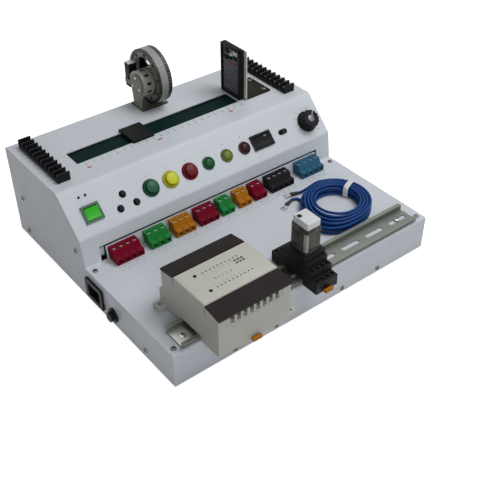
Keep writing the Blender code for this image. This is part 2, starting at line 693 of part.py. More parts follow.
def belt_drive():
    """The closed belt, its two crowned rollers, the channel that holds their axles, and the small motor."""
    belt_top = TOP_Z - BELT_DROP
    middle_y = (SLOT_FRONT + SLOT_BACK) / 2
    axle_z = belt_top - BELT_THICKNESS - ROLLER_RADIUS - GAP
    ends = (SLOT_LEFT - ROLLER_OVERHANG, SLOT_RIGHT + ROLLER_OVERHANG)
    inner, outer = ROLLER_RADIUS + GAP, ROLLER_RADIUS + GAP + BELT_THICKNESS
    steps = ROLLER_SIDES // 2
    loops = []
    for radius in (outer, inner):
        loops.append(arc((ends[1], axle_z), radius, -90, 90, steps) + arc((ends[0], axle_z), radius, 90, 270, steps))
    mesh = bmesh.new()
    walls = []
    for loop in loops:
        for y in (middle_y - BELT_WIDTH / 2, middle_y + BELT_WIDTH / 2):
            walls.append([mesh.verts.new((u, y, v)) for u, v in loop])
    for first, second in ((0, 1), (1, 3), (3, 2), (2, 0)):
        for i in range(len(loops[0])):
            j = (i + 1) % len(loops[0])
            mesh.faces.new((walls[first][i], walls[first][j], walls[second][j], walls[second][i]))
    finish("belt", mesh, "belt")

    half = BELT_WIDTH / 2 + GAP
    for name, x in (("idler_roller", ends[0]), ("drive_roller", ends[1])):
        profile = (
            (AXLE_RADIUS + GAP, -half),
            (ROLLER_RADIUS, -half),
            (ROLLER_RADIUS, half),
            (AXLE_RADIUS + GAP, half),
        )
        roller = placed(turned(name, profile, ROLLER_SIDES, "steel"), AXIS_Y)
        at(roller, x, middle_y, axle_z)
        hinged(roller, (x, middle_y, axle_z))

    wall_in = half + GAP
    wall_out = wall_in + FRAME_WALL
    low = (ends[0] - FRAME_END, middle_y - wall_out, axle_z - FRAME_DEPTH / 2 - FRAME_WALL)
    high = (ends[1] + FRAME_END, middle_y + wall_out, axle_z + FRAME_LUG / 2)
    frame = block("belt_frame", low, high, "steel")
    well_low = (low[0] - OVERRUN, middle_y - wall_in, axle_z - FRAME_DEPTH / 2)
    cut(frame, block("well", well_low, (high[0] + OVERRUN, middle_y + wall_in, high[2] + OVERRUN)))
    for x in ends:
        axle = placed(cylinder("axle", AXLE_RADIUS, -wall_out + FRAME_WALL / 2, wall_out - FRAME_WALL / 2), AXIS_Y)
        join(frame, at(axle, x, middle_y, axle_z))
    for x in ends:
        lug_high = (x + FRAME_LUG / 2, middle_y + wall_out + FRAME_LUG, TOP_Z - SHEET - GAP)
        lug = block("lug", (x - FRAME_LUG / 2, middle_y + wall_out - FRAME_WALL / 2, axle_z), lug_high)
        join(frame, lug)

    motor_y = middle_y - wall_out - GAP
    profile = (
        (0, -MOTOR_NECK - MOTOR_LENGTH),
        (MOTOR_RADIUS, -MOTOR_NECK - MOTOR_LENGTH),
        (MOTOR_RADIUS, -MOTOR_NECK),
        (MOTOR_NECK_RADIUS, -MOTOR_NECK),
        (MOTOR_NECK_RADIUS, 0),
        (0, 0),
    )
    motor = placed(turned("belt_motor", profile, ROUND_SIDES, "steel"), Matrix.Rotation(-pi / 2, 4, "X"))
    at(motor, ends[1], motor_y, axle_z - MOTOR_DROP)


def carriage():
    """A low black plate that spans the slot and is clamped to the belt by a keel."""
    middle_y = (SLOT_FRONT + SLOT_BACK) / 2
    half_y = (SLOT_BACK - SLOT_FRONT) / 2
    low = (CARRIAGE_X - CARRIAGE_LENGTH / 2, middle_y - half_y - CARRIAGE_OVERLAP, TOP_Z + GAP)
    high = (CARRIAGE_X + CARRIAGE_LENGTH / 2, middle_y + half_y + CARRIAGE_OVERLAP, TOP_Z + GAP + CARRIAGE_PLATE)
    outline = (
        (low[1], low[2]),
        (high[1], low[2]),
        (high[1], high[2] - CARRIAGE_BEVEL),
        (high[1] - CARRIAGE_BEVEL, high[2]),
        (low[1] + CARRIAGE_BEVEL, high[2]),
        (low[1], high[2] - CARRIAGE_BEVEL),
    )
    plate = prism("carriage", outline, "X", low[0], high[0], "black")
    keel_low = (low[0] + CARRIAGE_KEEL, middle_y - BELT_WIDTH / 2, TOP_Z - BELT_DROP + GAP)
    keel_high = (high[0] - CARRIAGE_KEEL, middle_y + BELT_WIDTH / 2, TOP_Z + CARRIAGE_PLATE / 2)
    return join(plate, block("keel", keel_low, keel_high))


def barrier_strip(name, x):
    """A row of screw terminals between upright ribs on a stepped base."""
    length = STRIP_POLES * STRIP_PITCH + STRIP_RIB
    floor = TOP_Z + GAP
    low = (x - STRIP_WIDTH / 2, STRIP_FRONT, floor)
    strip = block(name, low, (x + STRIP_WIDTH / 2, STRIP_FRONT + length, floor + STRIP_HEIGHT), "black")
    for i in range(STRIP_POLES):
        y = STRIP_FRONT + STRIP_RIB + i * STRIP_PITCH
        back = y + STRIP_PITCH - STRIP_RIB
        bay_low = (x - STRIP_WIDTH / 2 - OVERRUN, y, floor + STRIP_BASE)
        cut(strip, block("bay", bay_low, (x + STRIP_WIDTH / 2 + OVERRUN, back, floor + STRIP_HEIGHT + OVERRUN)))
        for side in (-1, 1):
            base = floor + STRIP_BASE - STRIP_RIB
            screw = cylinder("screw", STRIP_SCREW_RADIUS, base, base + STRIP_RIB + STRIP_SCREW_HEIGHT, SCREW_SIDES)
            join(strip, at(screw, x + side * STRIP_SCREW_OFFSET, (y + back) / 2, 0))
    return strip


def terminal_block(name, x, poles, colour):
    """A moulded block that lies on the deck before the wall: a raised back row of screws and a lip with the mouths."""
    front = WALL_FOOT_Y - TERMINAL_REACH
    floor = DECK_Z + GAP
    back = WALL_FOOT_Y - GAP
    shoulder = front + TERMINAL_LIP
    profile = (
        (front, floor),
        (back, floor),
        (back + TERMINAL_HEIGHT * WALL_LEAN, floor + TERMINAL_HEIGHT),
        (shoulder + TERMINAL_RAKE, floor + TERMINAL_HEIGHT),
        (shoulder, floor + TERMINAL_LIP_HEIGHT),
        (front, floor + TERMINAL_LIP_HEIGHT - GAP),
    )
    width = poles * POLE_PITCH - GAP
    body = prism(name, profile, "X", x, x + width, colour)
    tongue_z = DECK_Z + TERMINAL_TONGUE_Z
    inset = TERMINAL_TONGUE_INSET
    tongue_low = (x + inset, back - TERMINAL_RAKE, tongue_z)
    board_front = SLOPE_FOOT_Y + SHEET + GAP
    join(body, block("tongue", tongue_low, (x + width - inset, board_front, tongue_z + TERMINAL_TONGUE)))
    for i in range(poles):
        pole_x = x + (i + 0.5) * width / poles
        screw_y = (shoulder + TERMINAL_RAKE + back) / 2
        top = floor + TERMINAL_HEIGHT
        bore = cylinder("bore", TERMINAL_SCREW_RADIUS, top - TERMINAL_SCREW_DEPTH, top + OVERRUN, SCREW_SIDES)
        cut(body, at(bore, pole_x, screw_y, 0))
        mouth_low = (pole_x - TERMINAL_WIRE_WIDTH / 2, front - OVERRUN, floor + TERMINAL_WIRE_Z)
        mouth_high = (
            pole_x + TERMINAL_WIRE_WIDTH / 2,
            front + TERMINAL_WIRE_DEPTH,
            floor + TERMINAL_WIRE_Z + TERMINAL_WIRE_HEIGHT,
        )
        cut(body, block("mouth", mouth_low, mouth_high))
    return body


def terminal_board():
    """The upright circuit board behind the window that the terminal blocks are soldered to."""
    face = SLOPE_FOOT_Y + SHEET + 2 * GAP
    low = (WINDOW_LEFT + OVERRUN, face, DECK_Z)
    high = (WINDOW_RIGHT - OVERRUN, face + BOARD_THICKNESS, DECK_Z + TERMINAL_BOARD_HEIGHT)
    return block("terminal_board", low, high, "board")


def control_board():
    """The board behind the slope with the sleeves of buttons and lamps, the slide switch and the turning control."""
    face = -BOARD_DEPTH
    middle_x = (BOARD_LEFT + BOARD_RIGHT) / 2
    half_x = (BOARD_RIGHT - BOARD_LEFT) / 2
    low = (-half_x, BUTTON_DOWN - BOARD_BOTTOM_DOWN, face - BOARD_THICKNESS)
    board = block("control_board", low, (half_x, BUTTON_DOWN - BOARD_TOP_DOWN, face), "board")
    on_slope(board, middle_x, BUTTON_DOWN)
    root = face - BOARD_THICKNESS / 2
    for i in range(6):
        inner = (BUTTON_RADIUS if i < 3 else LAMP_RADIUS) + GAP
        sleeve = inner + BEZEL_WALL / 2
        rim = inner + BEZEL_WALL + GAP
        profile = (
            (inner, root),
            (sleeve, root),
            (sleeve, GAP),
            (rim, GAP),
            (rim - GAP, BEZEL_RISE),
            (inner, BEZEL_RISE),
        )
        collar = turned("collar", profile)
        join(board, on_slope(collar, BUTTON_FIRST_X + i * BUTTON_PITCH, BUTTON_DOWN))
    for x, down in SMALL_BUTTON_PLACES:
        top = -SHEET - GAP
        guide = turned(
            "guide",
            (
                (0, root),
                (SMALL_BUTTON_RADIUS + BEZEL_WALL, root),
                (SMALL_BUTTON_RADIUS + BEZEL_WALL, top),
                (SMALL_BUTTON_RADIUS + GAP, top),
                (SMALL_BUTTON_RADIUS + GAP, top - SMALL_BUTTON_HEIGHT),
                (0, top - SMALL_BUTTON_HEIGHT),
            ),
            SCREW_SIDES * 2,
        )
        join(board, on_slope(guide, x, down))
    switch_low = (-SLIDER_WIDTH / 2 - BEZEL_WALL, -SLIDER_HEIGHT / 2 - BEZEL_WALL, root)
    switch_high = (SLIDER_WIDTH / 2 + BEZEL_WALL, SLIDER_HEIGHT / 2 + BEZEL_WALL, -SHEET - GAP)
    join(board, on_slope(block("switch", switch_low, switch_high), SLIDER_X, BUTTON_DOWN))
    profile = (
        (0, root),
        (KNOB_RADIUS - KNOB_SKIRT, root),
        (KNOB_RADIUS - KNOB_SKIRT, -SHEET - GAP),
        (KNOB_SHAFT_RADIUS, -SHEET - GAP),
        (KNOB_SHAFT_RADIUS, KNOB_BORE_DEPTH),
        (0, KNOB_BORE_DEPTH),
    )
    join(board, on_slope(turned("potentiometer", profile), KNOB_X, BUTTON_DOWN))
    return board


def push_buttons_and_lamps():
    """Three crowned caps that travel in their sleeves, and three domed lenses that are fixed in theirs."""
    names = ("green_button", "yellow_button", "red_button", "green_lamp", "yellow_lamp", "red_lamp")
    colours = ("green", "yellow", "red", "green", "yellow", "red")
    for i, (name, colour) in enumerate(zip(names, colours)):
        x = BUTTON_FIRST_X + i * BUTTON_PITCH
        if i < 3:
            radius, height, crown, foot = BUTTON_RADIUS, BUTTON_HEIGHT, BUTTON_CROWN, -BUTTON_TRAVEL - SHEET
        else:
            radius, height, crown, foot = LAMP_RADIUS, LAMP_HEIGHT, LAMP_CROWN, -BEZEL_RISE
        dome = [(radius * cos(radians(a)), height - crown + crown * sin(radians(a))) for a in (0, 25, 50, 72)]
        cap = turned(name, [(0, foot), (radius, foot), *dome, (0, height)], ROUND_SIDES, colour)
        hinged(on_slope(cap, x, BUTTON_DOWN), slope_matrix(x, BUTTON_DOWN).translation)
    for i, (x, down) in enumerate(SMALL_BUTTON_PLACES):
        radius = SMALL_BUTTON_RADIUS
        foot = -SHEET - GAP - SMALL_BUTTON_HEIGHT + SMALL_BUTTON_TRAVEL + GAP
        profile = (
            (0, foot),
            (radius, foot),
            (radius, SMALL_BUTTON_HEIGHT - BUTTON_CROWN / 2),
            (radius - BUTTON_CROWN / 2, SMALL_BUTTON_HEIGHT),
            (0, SMALL_BUTTON_HEIGHT),
        )
        cap = turned(f"small_button_{i + 1}", profile, SCREW_SIDES * 2, "black")
        hinged(on_slope(cap, x, down), slope_matrix(x, down).translation)


def rocker_switch(name, x, width, height, colours):
    """A snap-in frame with a rim on the panel, and a rocker that turns about a pin across the frame."""
    body_x, body_y = width / 2 - ROCKER_RIM / 2 - GAP, height / 2 - ROCKER_RIM / 2 - GAP
    inner_x, inner_y = body_x - ROCKER_WALL, body_y - ROCKER_WALL
    rim = (-width / 2, -height / 2, GAP), (width / 2, height / 2, ROCKER_RIM_RISE)
    frame = block(f"{name}_switch_frame", *rim, colours[0])
    join(frame, block("body", (-body_x, -body_y, -ROCKER_BODY_DEPTH), (body_x, body_y, ROCKER_RIM_RISE / 2)))
    well_low = (-inner_x, -inner_y, -ROCKER_BODY_DEPTH + ROCKER_WALL)
    cut(frame, block("well", well_low, (inner_x, inner_y, ROCKER_RIM_RISE + OVERRUN)))
    pin = placed(cylinder("pin", ROCKER_PIN_RADIUS, -body_x, body_x, SCREW_SIDES), AXIS_X)
    join(frame, pin)
    on_slope(frame, x, BUTTON_DOWN)

    reach_x, reach_y = inner_x - GAP, inner_y - GAP - ROCKER_WALL / 2
    profile = (
        (-reach_y, ROCKER_RISE),
        (-reach_y * cos(pi / 6), -ROCKER_RISE),
        (-ROCKER_PIN_RADIUS * 2, -ROCKER_RISE * 2),
        (ROCKER_PIN_RADIUS * 2, -ROCKER_RISE * 2),
        (reach_y * cos(pi / 6), -ROCKER_RISE),
        (reach_y, ROCKER_RISE),
        (reach_y / 2, ROCKER_RISE - ROCKER_PIN_RADIUS / 2),
        (0, ROCKER_RISE - ROCKER_PIN_RADIUS / 2 - GAP),
        (-reach_y / 2, ROCKER_RISE - ROCKER_PIN_RADIUS / 2),
    )
    rocker = prism(f"{name}_rocker", profile, "X", -reach_x, reach_x, colours[1])
    bore = cylinder("bore", ROCKER_PIN_RADIUS + GAP, -body_x - OVERRUN, body_x + OVERRUN, SCREW_SIDES)
    cut(rocker, placed(bore, AXIS_X))
    placed(rocker, Matrix.Rotation(radians(ROCKER_TILT), 4, "X"))
    hinged(on_slope(rocker, x, BUTTON_DOWN), slope_matrix(x, BUTTON_DOWN).translation)


def slide_switch_lever():
    foot = -SHEET
    low = (-SLIDER_LEVER_WIDTH / 2 - SLIDER_TRAVEL / 2, -SLIDER_LEVER_HEIGHT / 2, foot)
    high = (SLIDER_LEVER_WIDTH / 2 - SLIDER_TRAVEL / 2, SLIDER_LEVER_HEIGHT / 2, SLIDER_LEVER_RISE)
    lever = block("slide_switch_lever", low, high, "black")
    return hinged(on_slope(lever, SLIDER_X, BUTTON_DOWN), slope_matrix(SLIDER_X, BUTTON_DOWN).translation)


def speed_knob():
    """A fluted knob with a skirt, bored for the shaft, with a line cut in its face."""
    turns = KNOB_FLUTES * 4
    outline = []
    for i in range(turns):
        angle = 2 * pi * i / turns
        radius = KNOB_TOP_RADIUS + KNOB_FLUTE_RADIUS * abs(sin(KNOB_FLUTES * angle / 2))
        outline.append((radius * cos(angle), radius * sin(angle)))
    knob = prism("speed_knob", outline, "Z", KNOB_SKIRT / 2, KNOB_HEIGHT, "black")
    skirt = ((0, GAP), (KNOB_RADIUS, GAP), (KNOB_RADIUS, KNOB_SKIRT / 2), (KNOB_TOP_RADIUS, KNOB_SKIRT), (0, KNOB_SKIRT))
    join(knob, turned("skirt", skirt, ROUND_SIDES + SCREW_SIDES))
    cut(knob, cylinder("bore", KNOB_SHAFT_RADIUS + GAP, -OVERRUN, KNOB_BORE_DEPTH + GAP))
    groove_low = (-KNOB_POINTER_WIDTH / 2, 0, KNOB_HEIGHT - KNOB_POINTER_DEPTH)
    cut(knob, block("groove", groove_low, (KNOB_POINTER_WIDTH / 2, KNOB_RADIUS + OVERRUN, KNOB_HEIGHT + OVERRUN)))
    return hinged(on_slope(knob, KNOB_X, BUTTON_DOWN), slope_matrix(KNOB_X, BUTTON_DOWN).translation)


def din_rail():
    """A top-hat rail: a web on the deck with oblong slots, raised sides and two flanges."""
    base = DECK_Z + GAP
    half_web, half = RAIL_WEB / 2, RAIL_WIDTH / 2
    top = base + RAIL_HEIGHT
    profile = (
        (-half, top - RAIL_SHEET),
        (-half_web, top - RAIL_SHEET),
        (-half_web, base),
        (half_web, base),
        (half_web, top - RAIL_SHEET),
        (half, top - RAIL_SHEET),
        (half, top),
        (half_web - RAIL_SHEET, top),
        (half_web - RAIL_SHEET, base + RAIL_SHEET),
        (-half_web + RAIL_SHEET, base + RAIL_SHEET),
        (-half_web + RAIL_SHEET, top),
        (-half, top),
    )
    outline = [(RAIL_Y + u, v) for u, v in profile]
    rail = prism("din_rail", outline, "X", -RAIL_LENGTH / 2, RAIL_LENGTH / 2, "steel")
    for i in range(RAIL_SLOT_COUNT):
        x = RAIL_SLOT_LAST_X - RAIL_SLOT_LENGTH / 2 + RAIL_SLOT_WIDTH - i * RAIL_SLOT_PITCH
        slot = prism("slot", rounded_box(RAIL_SLOT_LENGTH, RAIL_SLOT_WIDTH, RAIL_SLOT_WIDTH / 2 - GAP), "Z", 0, TOP_Z)
        cut(rail, at(slot, x, RAIL_Y, 0))
    return rail


def controller():
    """The controller on the rail: a stepped housing, two hinged terminal covers and the rail latch."""
    base = DECK_Z + CONTROLLER_LIFT
    left, right = CONTROLLER_X - CONTROLLER_WIDTH / 2, CONTROLLER_X + CONTROLLER_WIDTH / 2
    top, half, plateau = CONTROLLER_TOP_Z, CONTROLLER_HALF, CONTROLLER_PLATEAU_HALF
    edge = top - CONTROLLER_EDGE_DROP
    ledge = base + CONTROLLER_LEDGE_TOP
    profile = (
        (-half, base),
        (half + CONTROLLER_LEDGE, base),
        (half + CONTROLLER_LEDGE, ledge),
        (half, ledge + CONTROLLER_LEDGE),
        (half, edge - COVER_THICKNESS - GAP),
        (plateau, top - COVER_THICKNESS - GAP),
        (plateau, top - CONTROLLER_CORNER),
        (plateau - CONTROLLER_CORNER, top),
        (-plateau + CONTROLLER_CORNER, top),
        (-plateau, top - CONTROLLER_CORNER),
        (-plateau, top - COVER_THICKNESS - GAP),
        (-half, edge - COVER_THICKNESS - GAP),
    )
    outline = [(CONTROLLER_Y + u, v) for u, v in profile]
    body = prism("controller_body", outline, "X", left, right, "beige")

    channel_low = (left - OVERRUN, RAIL_Y - RAIL_WIDTH / 2 - GAP, base - OVERRUN)
    channel_high = (right + OVERRUN, RAIL_Y + RAIL_WIDTH / 2 + GAP, DECK_Z + RAIL_HEIGHT + 2 * GAP)
    cut(body, block("channel", channel_low, channel_high))
    slot_low = (CONTROLLER_X - LATCH_WIDTH / 2 - GAP, CONTROLLER_Y - half - OVERRUN, base - OVERRUN)
    slot_high = (
        CONTROLLER_X + LATCH_WIDTH / 2 + GAP,
        RAIL_Y - RAIL_WIDTH / 2 + OVERRUN,
        base + LATCH_THICKNESS + 2 * GAP,
    )
    cut(body, block("latch_slot", slot_low, slot_high))

    screw_pitch = (CONTROLLER_WIDTH - 4 * WELL_WALL) / WELL_POLES
    for side in (-1, 1):
        near, far = plateau + WELL_WALL, half - WELL_WALL
        y_low = CONTROLLER_Y + min(side * near, side * far)
        y_high = CONTROLLER_Y + max(side * near, side * far)
        floor = edge - COVER_THICKNESS - TERMINAL_WELL
        well = block("well", (left + WELL_WALL, y_low, floor), (right - WELL_WALL, y_high, top + OVERRUN))
        cut(body, well)
        for i in range(WELL_POLES):
            screw = cylinder("screw", WELL_SCREW_RADIUS, floor - GAP, floor + WELL_SCREW_HEIGHT, SCREW_SIDES)
            x = left + 2 * WELL_WALL + (i + 0.5) * screw_pitch
            join(body, at(screw, x, (y_low + y_high) / 2, 0))
    comb_left = left + COMB_LEFT_SHARE * CONTROLLER_WIDTH
    comb_pitch = (COMB_RIGHT_SHARE - COMB_LEFT_SHARE) * CONTROLLER_WIDTH / WELL_POLES
    comb_top = edge - COVER_THICKNESS - WELL_WALL
    for i in range(WELL_POLES):
        x = comb_left + i * comb_pitch
        low = (x, CONTROLLER_Y - half - OVERRUN, comb_top - COMB_HEIGHT)
        mouth = block("mouth", low, (x + comb_pitch * COMB_SHARE, CONTROLLER_Y - half + COMB_DEPTH, comb_top))
        cut(body, mouth)
    for side in (-1, 1):
        x_low = right - OVERRUN if side < 0 else left - EAR_WIDTH
        y_front = CONTROLLER_Y - half if side < 0 else CONTROLLER_Y + half + CONTROLLER_LEDGE - EAR_LENGTH
        x_high = x_low + EAR_WIDTH + OVERRUN
        ear = block("ear", (x_low, y_front, base), (x_high, y_front + EAR_LENGTH, base + EAR_THICKNESS))
        x_hole = right + EAR_WIDTH / 2 if side < 0 else left - EAR_WIDTH / 2
        hole = cylinder("hole", EAR_HOLE_RADIUS, base - OVERRUN, base + EAR_THICKNESS + OVERRUN, SCREW_SIDES * 2)
        cut(ear, at(hole, x_hole, y_front + EAR_LENGTH / 2, 0))
        join(body, ear)

    for name, side in (("controller_front_cover", -1), ("controller_back_cover", 1)):
        profile = (
            (side * (plateau + GAP), top - COVER_THICKNESS),
            (side * (plateau + GAP), top),
            (side * (half + COVER_LAP), edge),
            (side * (half + COVER_LAP), edge - COVER_THICKNESS),
        )
        outline = [(CONTROLLER_Y + u, v) for u, v in profile]
        cover = prism(name, outline, "X", left, right, "black")
        hinged(cover, (CONTROLLER_X, CONTROLLER_Y + side * (plateau + GAP), top))

    latch_front = CONTROLLER_Y - half - LATCH_REACH
    latch_back = RAIL_Y - RAIL_WIDTH / 2 + LATCH_BITE
    low = (CONTROLLER_X - LATCH_WIDTH / 2, latch_front, base + GAP)
    high = (CONTROLLER_X + LATCH_WIDTH / 2, latch_back, DECK_Z + RAIL_HEIGHT - RAIL_SHEET)
    latch = block("controller_latch", low, (high[0], latch_back, base + GAP + LATCH_THICKNESS), "orange")
    lip = block("lip", low, (high[0], latch_front + LATCH_THICKNESS, base + GAP + LATCH_THICKNESS + LATCH_LIP))
    join(latch, lip)
    hinged(latch, (CONTROLLER_X, latch_front, base + GAP))


def relay_on_socket():
    """The stepped relay socket on the rail, its orange latch, and the plug-in relay with its cap."""
    base = DECK_Z + CONTROLLER_LIFT
    low_x, high_x = SOCKET_X - SOCKET_WIDTH / 2, SOCKET_X + SOCKET_WIDTH / 2
    top = DECK_Z + SOCKET_STEPS[-1][1]
    middle = (SOCKET_FRONT + SOCKET_BACK) / 2
    half = (SOCKET_BACK - SOCKET_FRONT) / 2
    profile = [(-half, base)]
    for (inset, height), (next_inset, _) in zip(SOCKET_STEPS, SOCKET_STEPS[1:]):
        profile += [(-half + inset, DECK_Z + height), (-half + next_inset, DECK_Z + height)]
    profile.append((-half + SOCKET_STEPS[-1][0], top))
    outline = [(middle + u, v) for u, v in profile + [(-u, v) for u, v in profile[::-1]]]
    socket = prism("relay_socket", outline, "X", low_x, high_x, "black")
    channel_low = (low_x - OVERRUN, RAIL_Y - RAIL_WIDTH / 2 - GAP, base - OVERRUN)
    channel_high = (high_x + OVERRUN, RAIL_Y + RAIL_WIDTH / 2 + GAP, DECK_Z + RAIL_HEIGHT + 2 * GAP)
    cut(socket, block("channel", channel_low, channel_high))
    slot_low = (SOCKET_X - LATCH_WIDTH / 2 - GAP, SOCKET_FRONT - OVERRUN, base - OVERRUN)
    slot_high = (SOCKET_X + LATCH_WIDTH / 2 + GAP, RAIL_Y - RAIL_WIDTH / 2 + OVERRUN, base + LATCH_THICKNESS + 2 * GAP)
    cut(socket, block("latch_slot", slot_low, slot_high))
    pitch = SOCKET_WIDTH / SOCKET_SCREWS
    for side in (-1, 1):
        for (inset, height), (next_inset, _) in zip(SOCKET_STEPS[:2], SOCKET_STEPS[1:]):
            for i in range(SOCKET_SCREWS):
                x = low_x + (i + 0.5) * pitch
                y = middle + side * (half - (inset + next_inset) / 2)
                z = DECK_Z + height
                bore = cylinder("bore", SOCKET_SCREW_RADIUS, z - SOCKET_SCREW_DEPTH, z + OVERRUN, SCREW_SIDES)
                cut(socket, at(bore, x, y, 0))
    well_low = (SOCKET_X - RELAY_WIDTH / 2 - GAP, RELAY_Y - RELAY_DEPTH / 2 - GAP, top - RELAY_SEAT)
    well_high = (SOCKET_X + RELAY_WIDTH / 2 + GAP, RELAY_Y + RELAY_DEPTH / 2 + GAP, top + OVERRUN)
    cut(socket, block("well", well_low, well_high))

    latch_back = RAIL_Y - RAIL_WIDTH / 2 + LATCH_BITE
    low = (SOCKET_X - LATCH_WIDTH / 2, SOCKET_FRONT - LATCH_REACH, base + GAP)
    high = (SOCKET_X + LATCH_WIDTH / 2, latch_back, base + GAP + LATCH_THICKNESS)
    latch = block("relay_socket_latch", low, high, "orange")
    lip_high = (high[0], low[1] + LATCH_THICKNESS, high[2] + LATCH_LIP)
    join(latch, block("lip", low, lip_high))
    hinged(latch, (SOCKET_X, low[1], base + GAP))

    floor = top - RELAY_SEAT + GAP
    shoulder = floor + RELAY_HEIGHT
    outline = rounded_box(RELAY_WIDTH, RELAY_DEPTH, RELAY_BEVEL, 2)
    relay = at(prism("relay", outline, "Z", floor, shoulder, "clear"), SOCKET_X, RELAY_Y, 0)
    cap = rounded_box(RELAY_WIDTH - 2 * RELAY_CAP_INSET, RELAY_DEPTH - 2 * RELAY_CAP_INSET, RELAY_BEVEL, 2)
    join(relay, at(prism("cap", cap, "Z", shoulder - RELAY_CAP_INSET, shoulder + RELAY_CAP), SOCKET_X, RELAY_Y, 0))
    hinged(relay, (SOCKET_X, RELAY_Y, floor))


def wheel_unit():
    """A bracket on the top that carries a gear motor and an optical sensor, and the cupped wheel on the motor's shaft."""
    base = TOP_Z + GAP
    low = (BRACKET_LEFT, BRACKET_FRONT, base)
    bracket = block("wheel_bracket", low, (BRACKET_RIGHT, BRACKET_BACK, base + BRACKET_THICKNESS), "black")
    motor_z = WHEEL_Z - WHEEL_MOTOR_DROP
    post = (
        (WHEEL_Y - BRACKET_POST / 2, base),
        (WHEEL_Y + BRACKET_POST / 2, base),
        *arc((WHEEL_Y, motor_z), BRACKET_HEAD_RADIUS, -30, 210, BEND_STEPS * 3),
    )
    join(bracket, prism("post", post, "X", BRACKET_LEFT, BRACKET_LEFT + BRACKET_THICKNESS))
    arm_low = (BRACKET_LEFT, WHEEL_Y, motor_z - SENSOR_ARM)
    arm_high = (BRACKET_LEFT + BRACKET_THICKNESS, SENSOR_Y + SENSOR_DEPTH / 4, motor_z)
    join(bracket, block("arm", arm_low, arm_high))

    gap = BRACKET_LEFT + BRACKET_THICKNESS + GAP
    shaft_end = WHEEL_LEFT + WHEEL_WIDTH + BRACKET_THICKNESS
    motor = cylinder("wheel_motor", WHEEL_MOTOR_RADIUS, gap, gap + WHEEL_MOTOR_LENGTH, ROUND_SIDES + SCREW_SIDES)
    placed(motor, AXIS_X)
    shaft = placed(cylinder("shaft", WHEEL_SHAFT_RADIUS, gap + WHEEL_MOTOR_LENGTH / 2, shaft_end, SCREW_SIDES), AXIS_X)
    join(at(motor, 0, WHEEL_Y, motor_z), at(shaft, 0, WHEEL_Y, WHEEL_Z))

    right = WHEEL_LEFT + WHEEL_WIDTH
    rim_inner = WHEEL_RADIUS - WHEEL_RIM
    profile = (
        (WHEEL_SHAFT_RADIUS + GAP, right - WHEEL_WEB),
        (rim_inner, right - WHEEL_WEB),
        (rim_inner, WHEEL_LEFT),
        (WHEEL_RADIUS, WHEEL_LEFT),
        (WHEEL_RADIUS, right),
        (WHEEL_SHAFT_RADIUS + GAP, right),
    )
    wheel = turned("wheel", profile, WHEEL_SIDES, "black")
    for i in range(WHEEL_WINDOWS):
        window = cylinder("window", WHEEL_WINDOW_RADIUS, right - WHEEL_WEB - OVERRUN / 2, right + OVERRUN)
        angle = 2 * pi * i / WHEEL_WINDOWS + radians(WHEEL_WINDOW_TURN)
        cut(wheel, at(window, WHEEL_WINDOW_RING * cos(angle), WHEEL_WINDOW_RING * sin(angle), 0))
    placed(wheel, AXIS_X)
    hinged(at(wheel, 0, WHEEL_Y, WHEEL_Z), (0, WHEEL_Y, WHEEL_Z))

    sensor_low = (BRACKET_LEFT + BRACKET_THICKNESS + GAP, SENSOR_Y - SENSOR_DEPTH / 2, SENSOR_Z)
    sensor_high = (SENSOR_X + SENSOR_WIDTH / 2 - GAP, SENSOR_Y + SENSOR_DEPTH / 2, SENSOR_Z + SENSOR_HEIGHT)
    block("wheel_sensor", sensor_low, sensor_high, "black")


def upright_board():
    """An angle plate with a black foot on the top, and a framed circuit board fixed to its left face."""
    base = TOP_Z + GAP
    left = UPRIGHT_X
    foot_high = (left + UPRIGHT_FOOT, UPRIGHT_FRONT + UPRIGHT_DEPTH, base + UPRIGHT_THICKNESS)
    plate = block("upright_plate", (left, UPRIGHT_FRONT, base), foot_high, "cream")
    top = base + UPRIGHT_HEIGHT
    join(plate, block("web", (left, UPRIGHT_FRONT, base), (left + UPRIGHT_THICKNESS, foot_high[1], top)))

    right = left - GAP
    low = (right - PANEL_THICKNESS, PANEL_FRONT, base + PANEL_BASE)
    high = (right, PANEL_FRONT + PANEL_DEPTH, base + PANEL_BASE + PANEL_HEIGHT)
    panel = block("upright_circuit_board", low, high, "black")
    recess_low = (low[0] - OVERRUN, low[1] + PANEL_FRAME, low[2] + PANEL_FRAME)
    recess_high = (low[0] + PANEL_RECESS, high[1] - PANEL_FRAME, high[2] - PANEL_FRAME)
    cut(panel, block("recess", recess_low, recess_high))
    pitch_y = (recess_high[1] - recess_low[1]) / PANEL_COLUMNS
    chip_z = recess_low[2] + PANEL_CHIP_SHARE * (recess_high[2] - recess_low[2])
    pitch_z = (chip_z - recess_low[2]) / PANEL_ROWS
    face = low[0] + PANEL_RECESS
    for row in range(PANEL_ROWS):
        for column in range(PANEL_COLUMNS):
            y = recess_low[1] + (column + 0.5) * pitch_y
            z = recess_low[2] + (row + 0.5) * pitch_z
            stud_low = (face - PANEL_STUD_RISE, y - PANEL_STUD / 2, z - PANEL_STUD / 2)
            stud_high = (face + PANEL_STUD_RISE, y + PANEL_STUD / 2, z + PANEL_STUD / 2)
            join(panel, block("stud", stud_low, stud_high))
    chip_low = (face - PANEL_STUD_RISE, recess_low[1] + pitch_y, chip_z + PANEL_FRAME)
    chip_high = (face + PANEL_STUD_RISE, recess_high[1] - pitch_y, recess_high[2] - PANEL_FRAME)
    join(panel, block("chip", chip_low, chip_high))


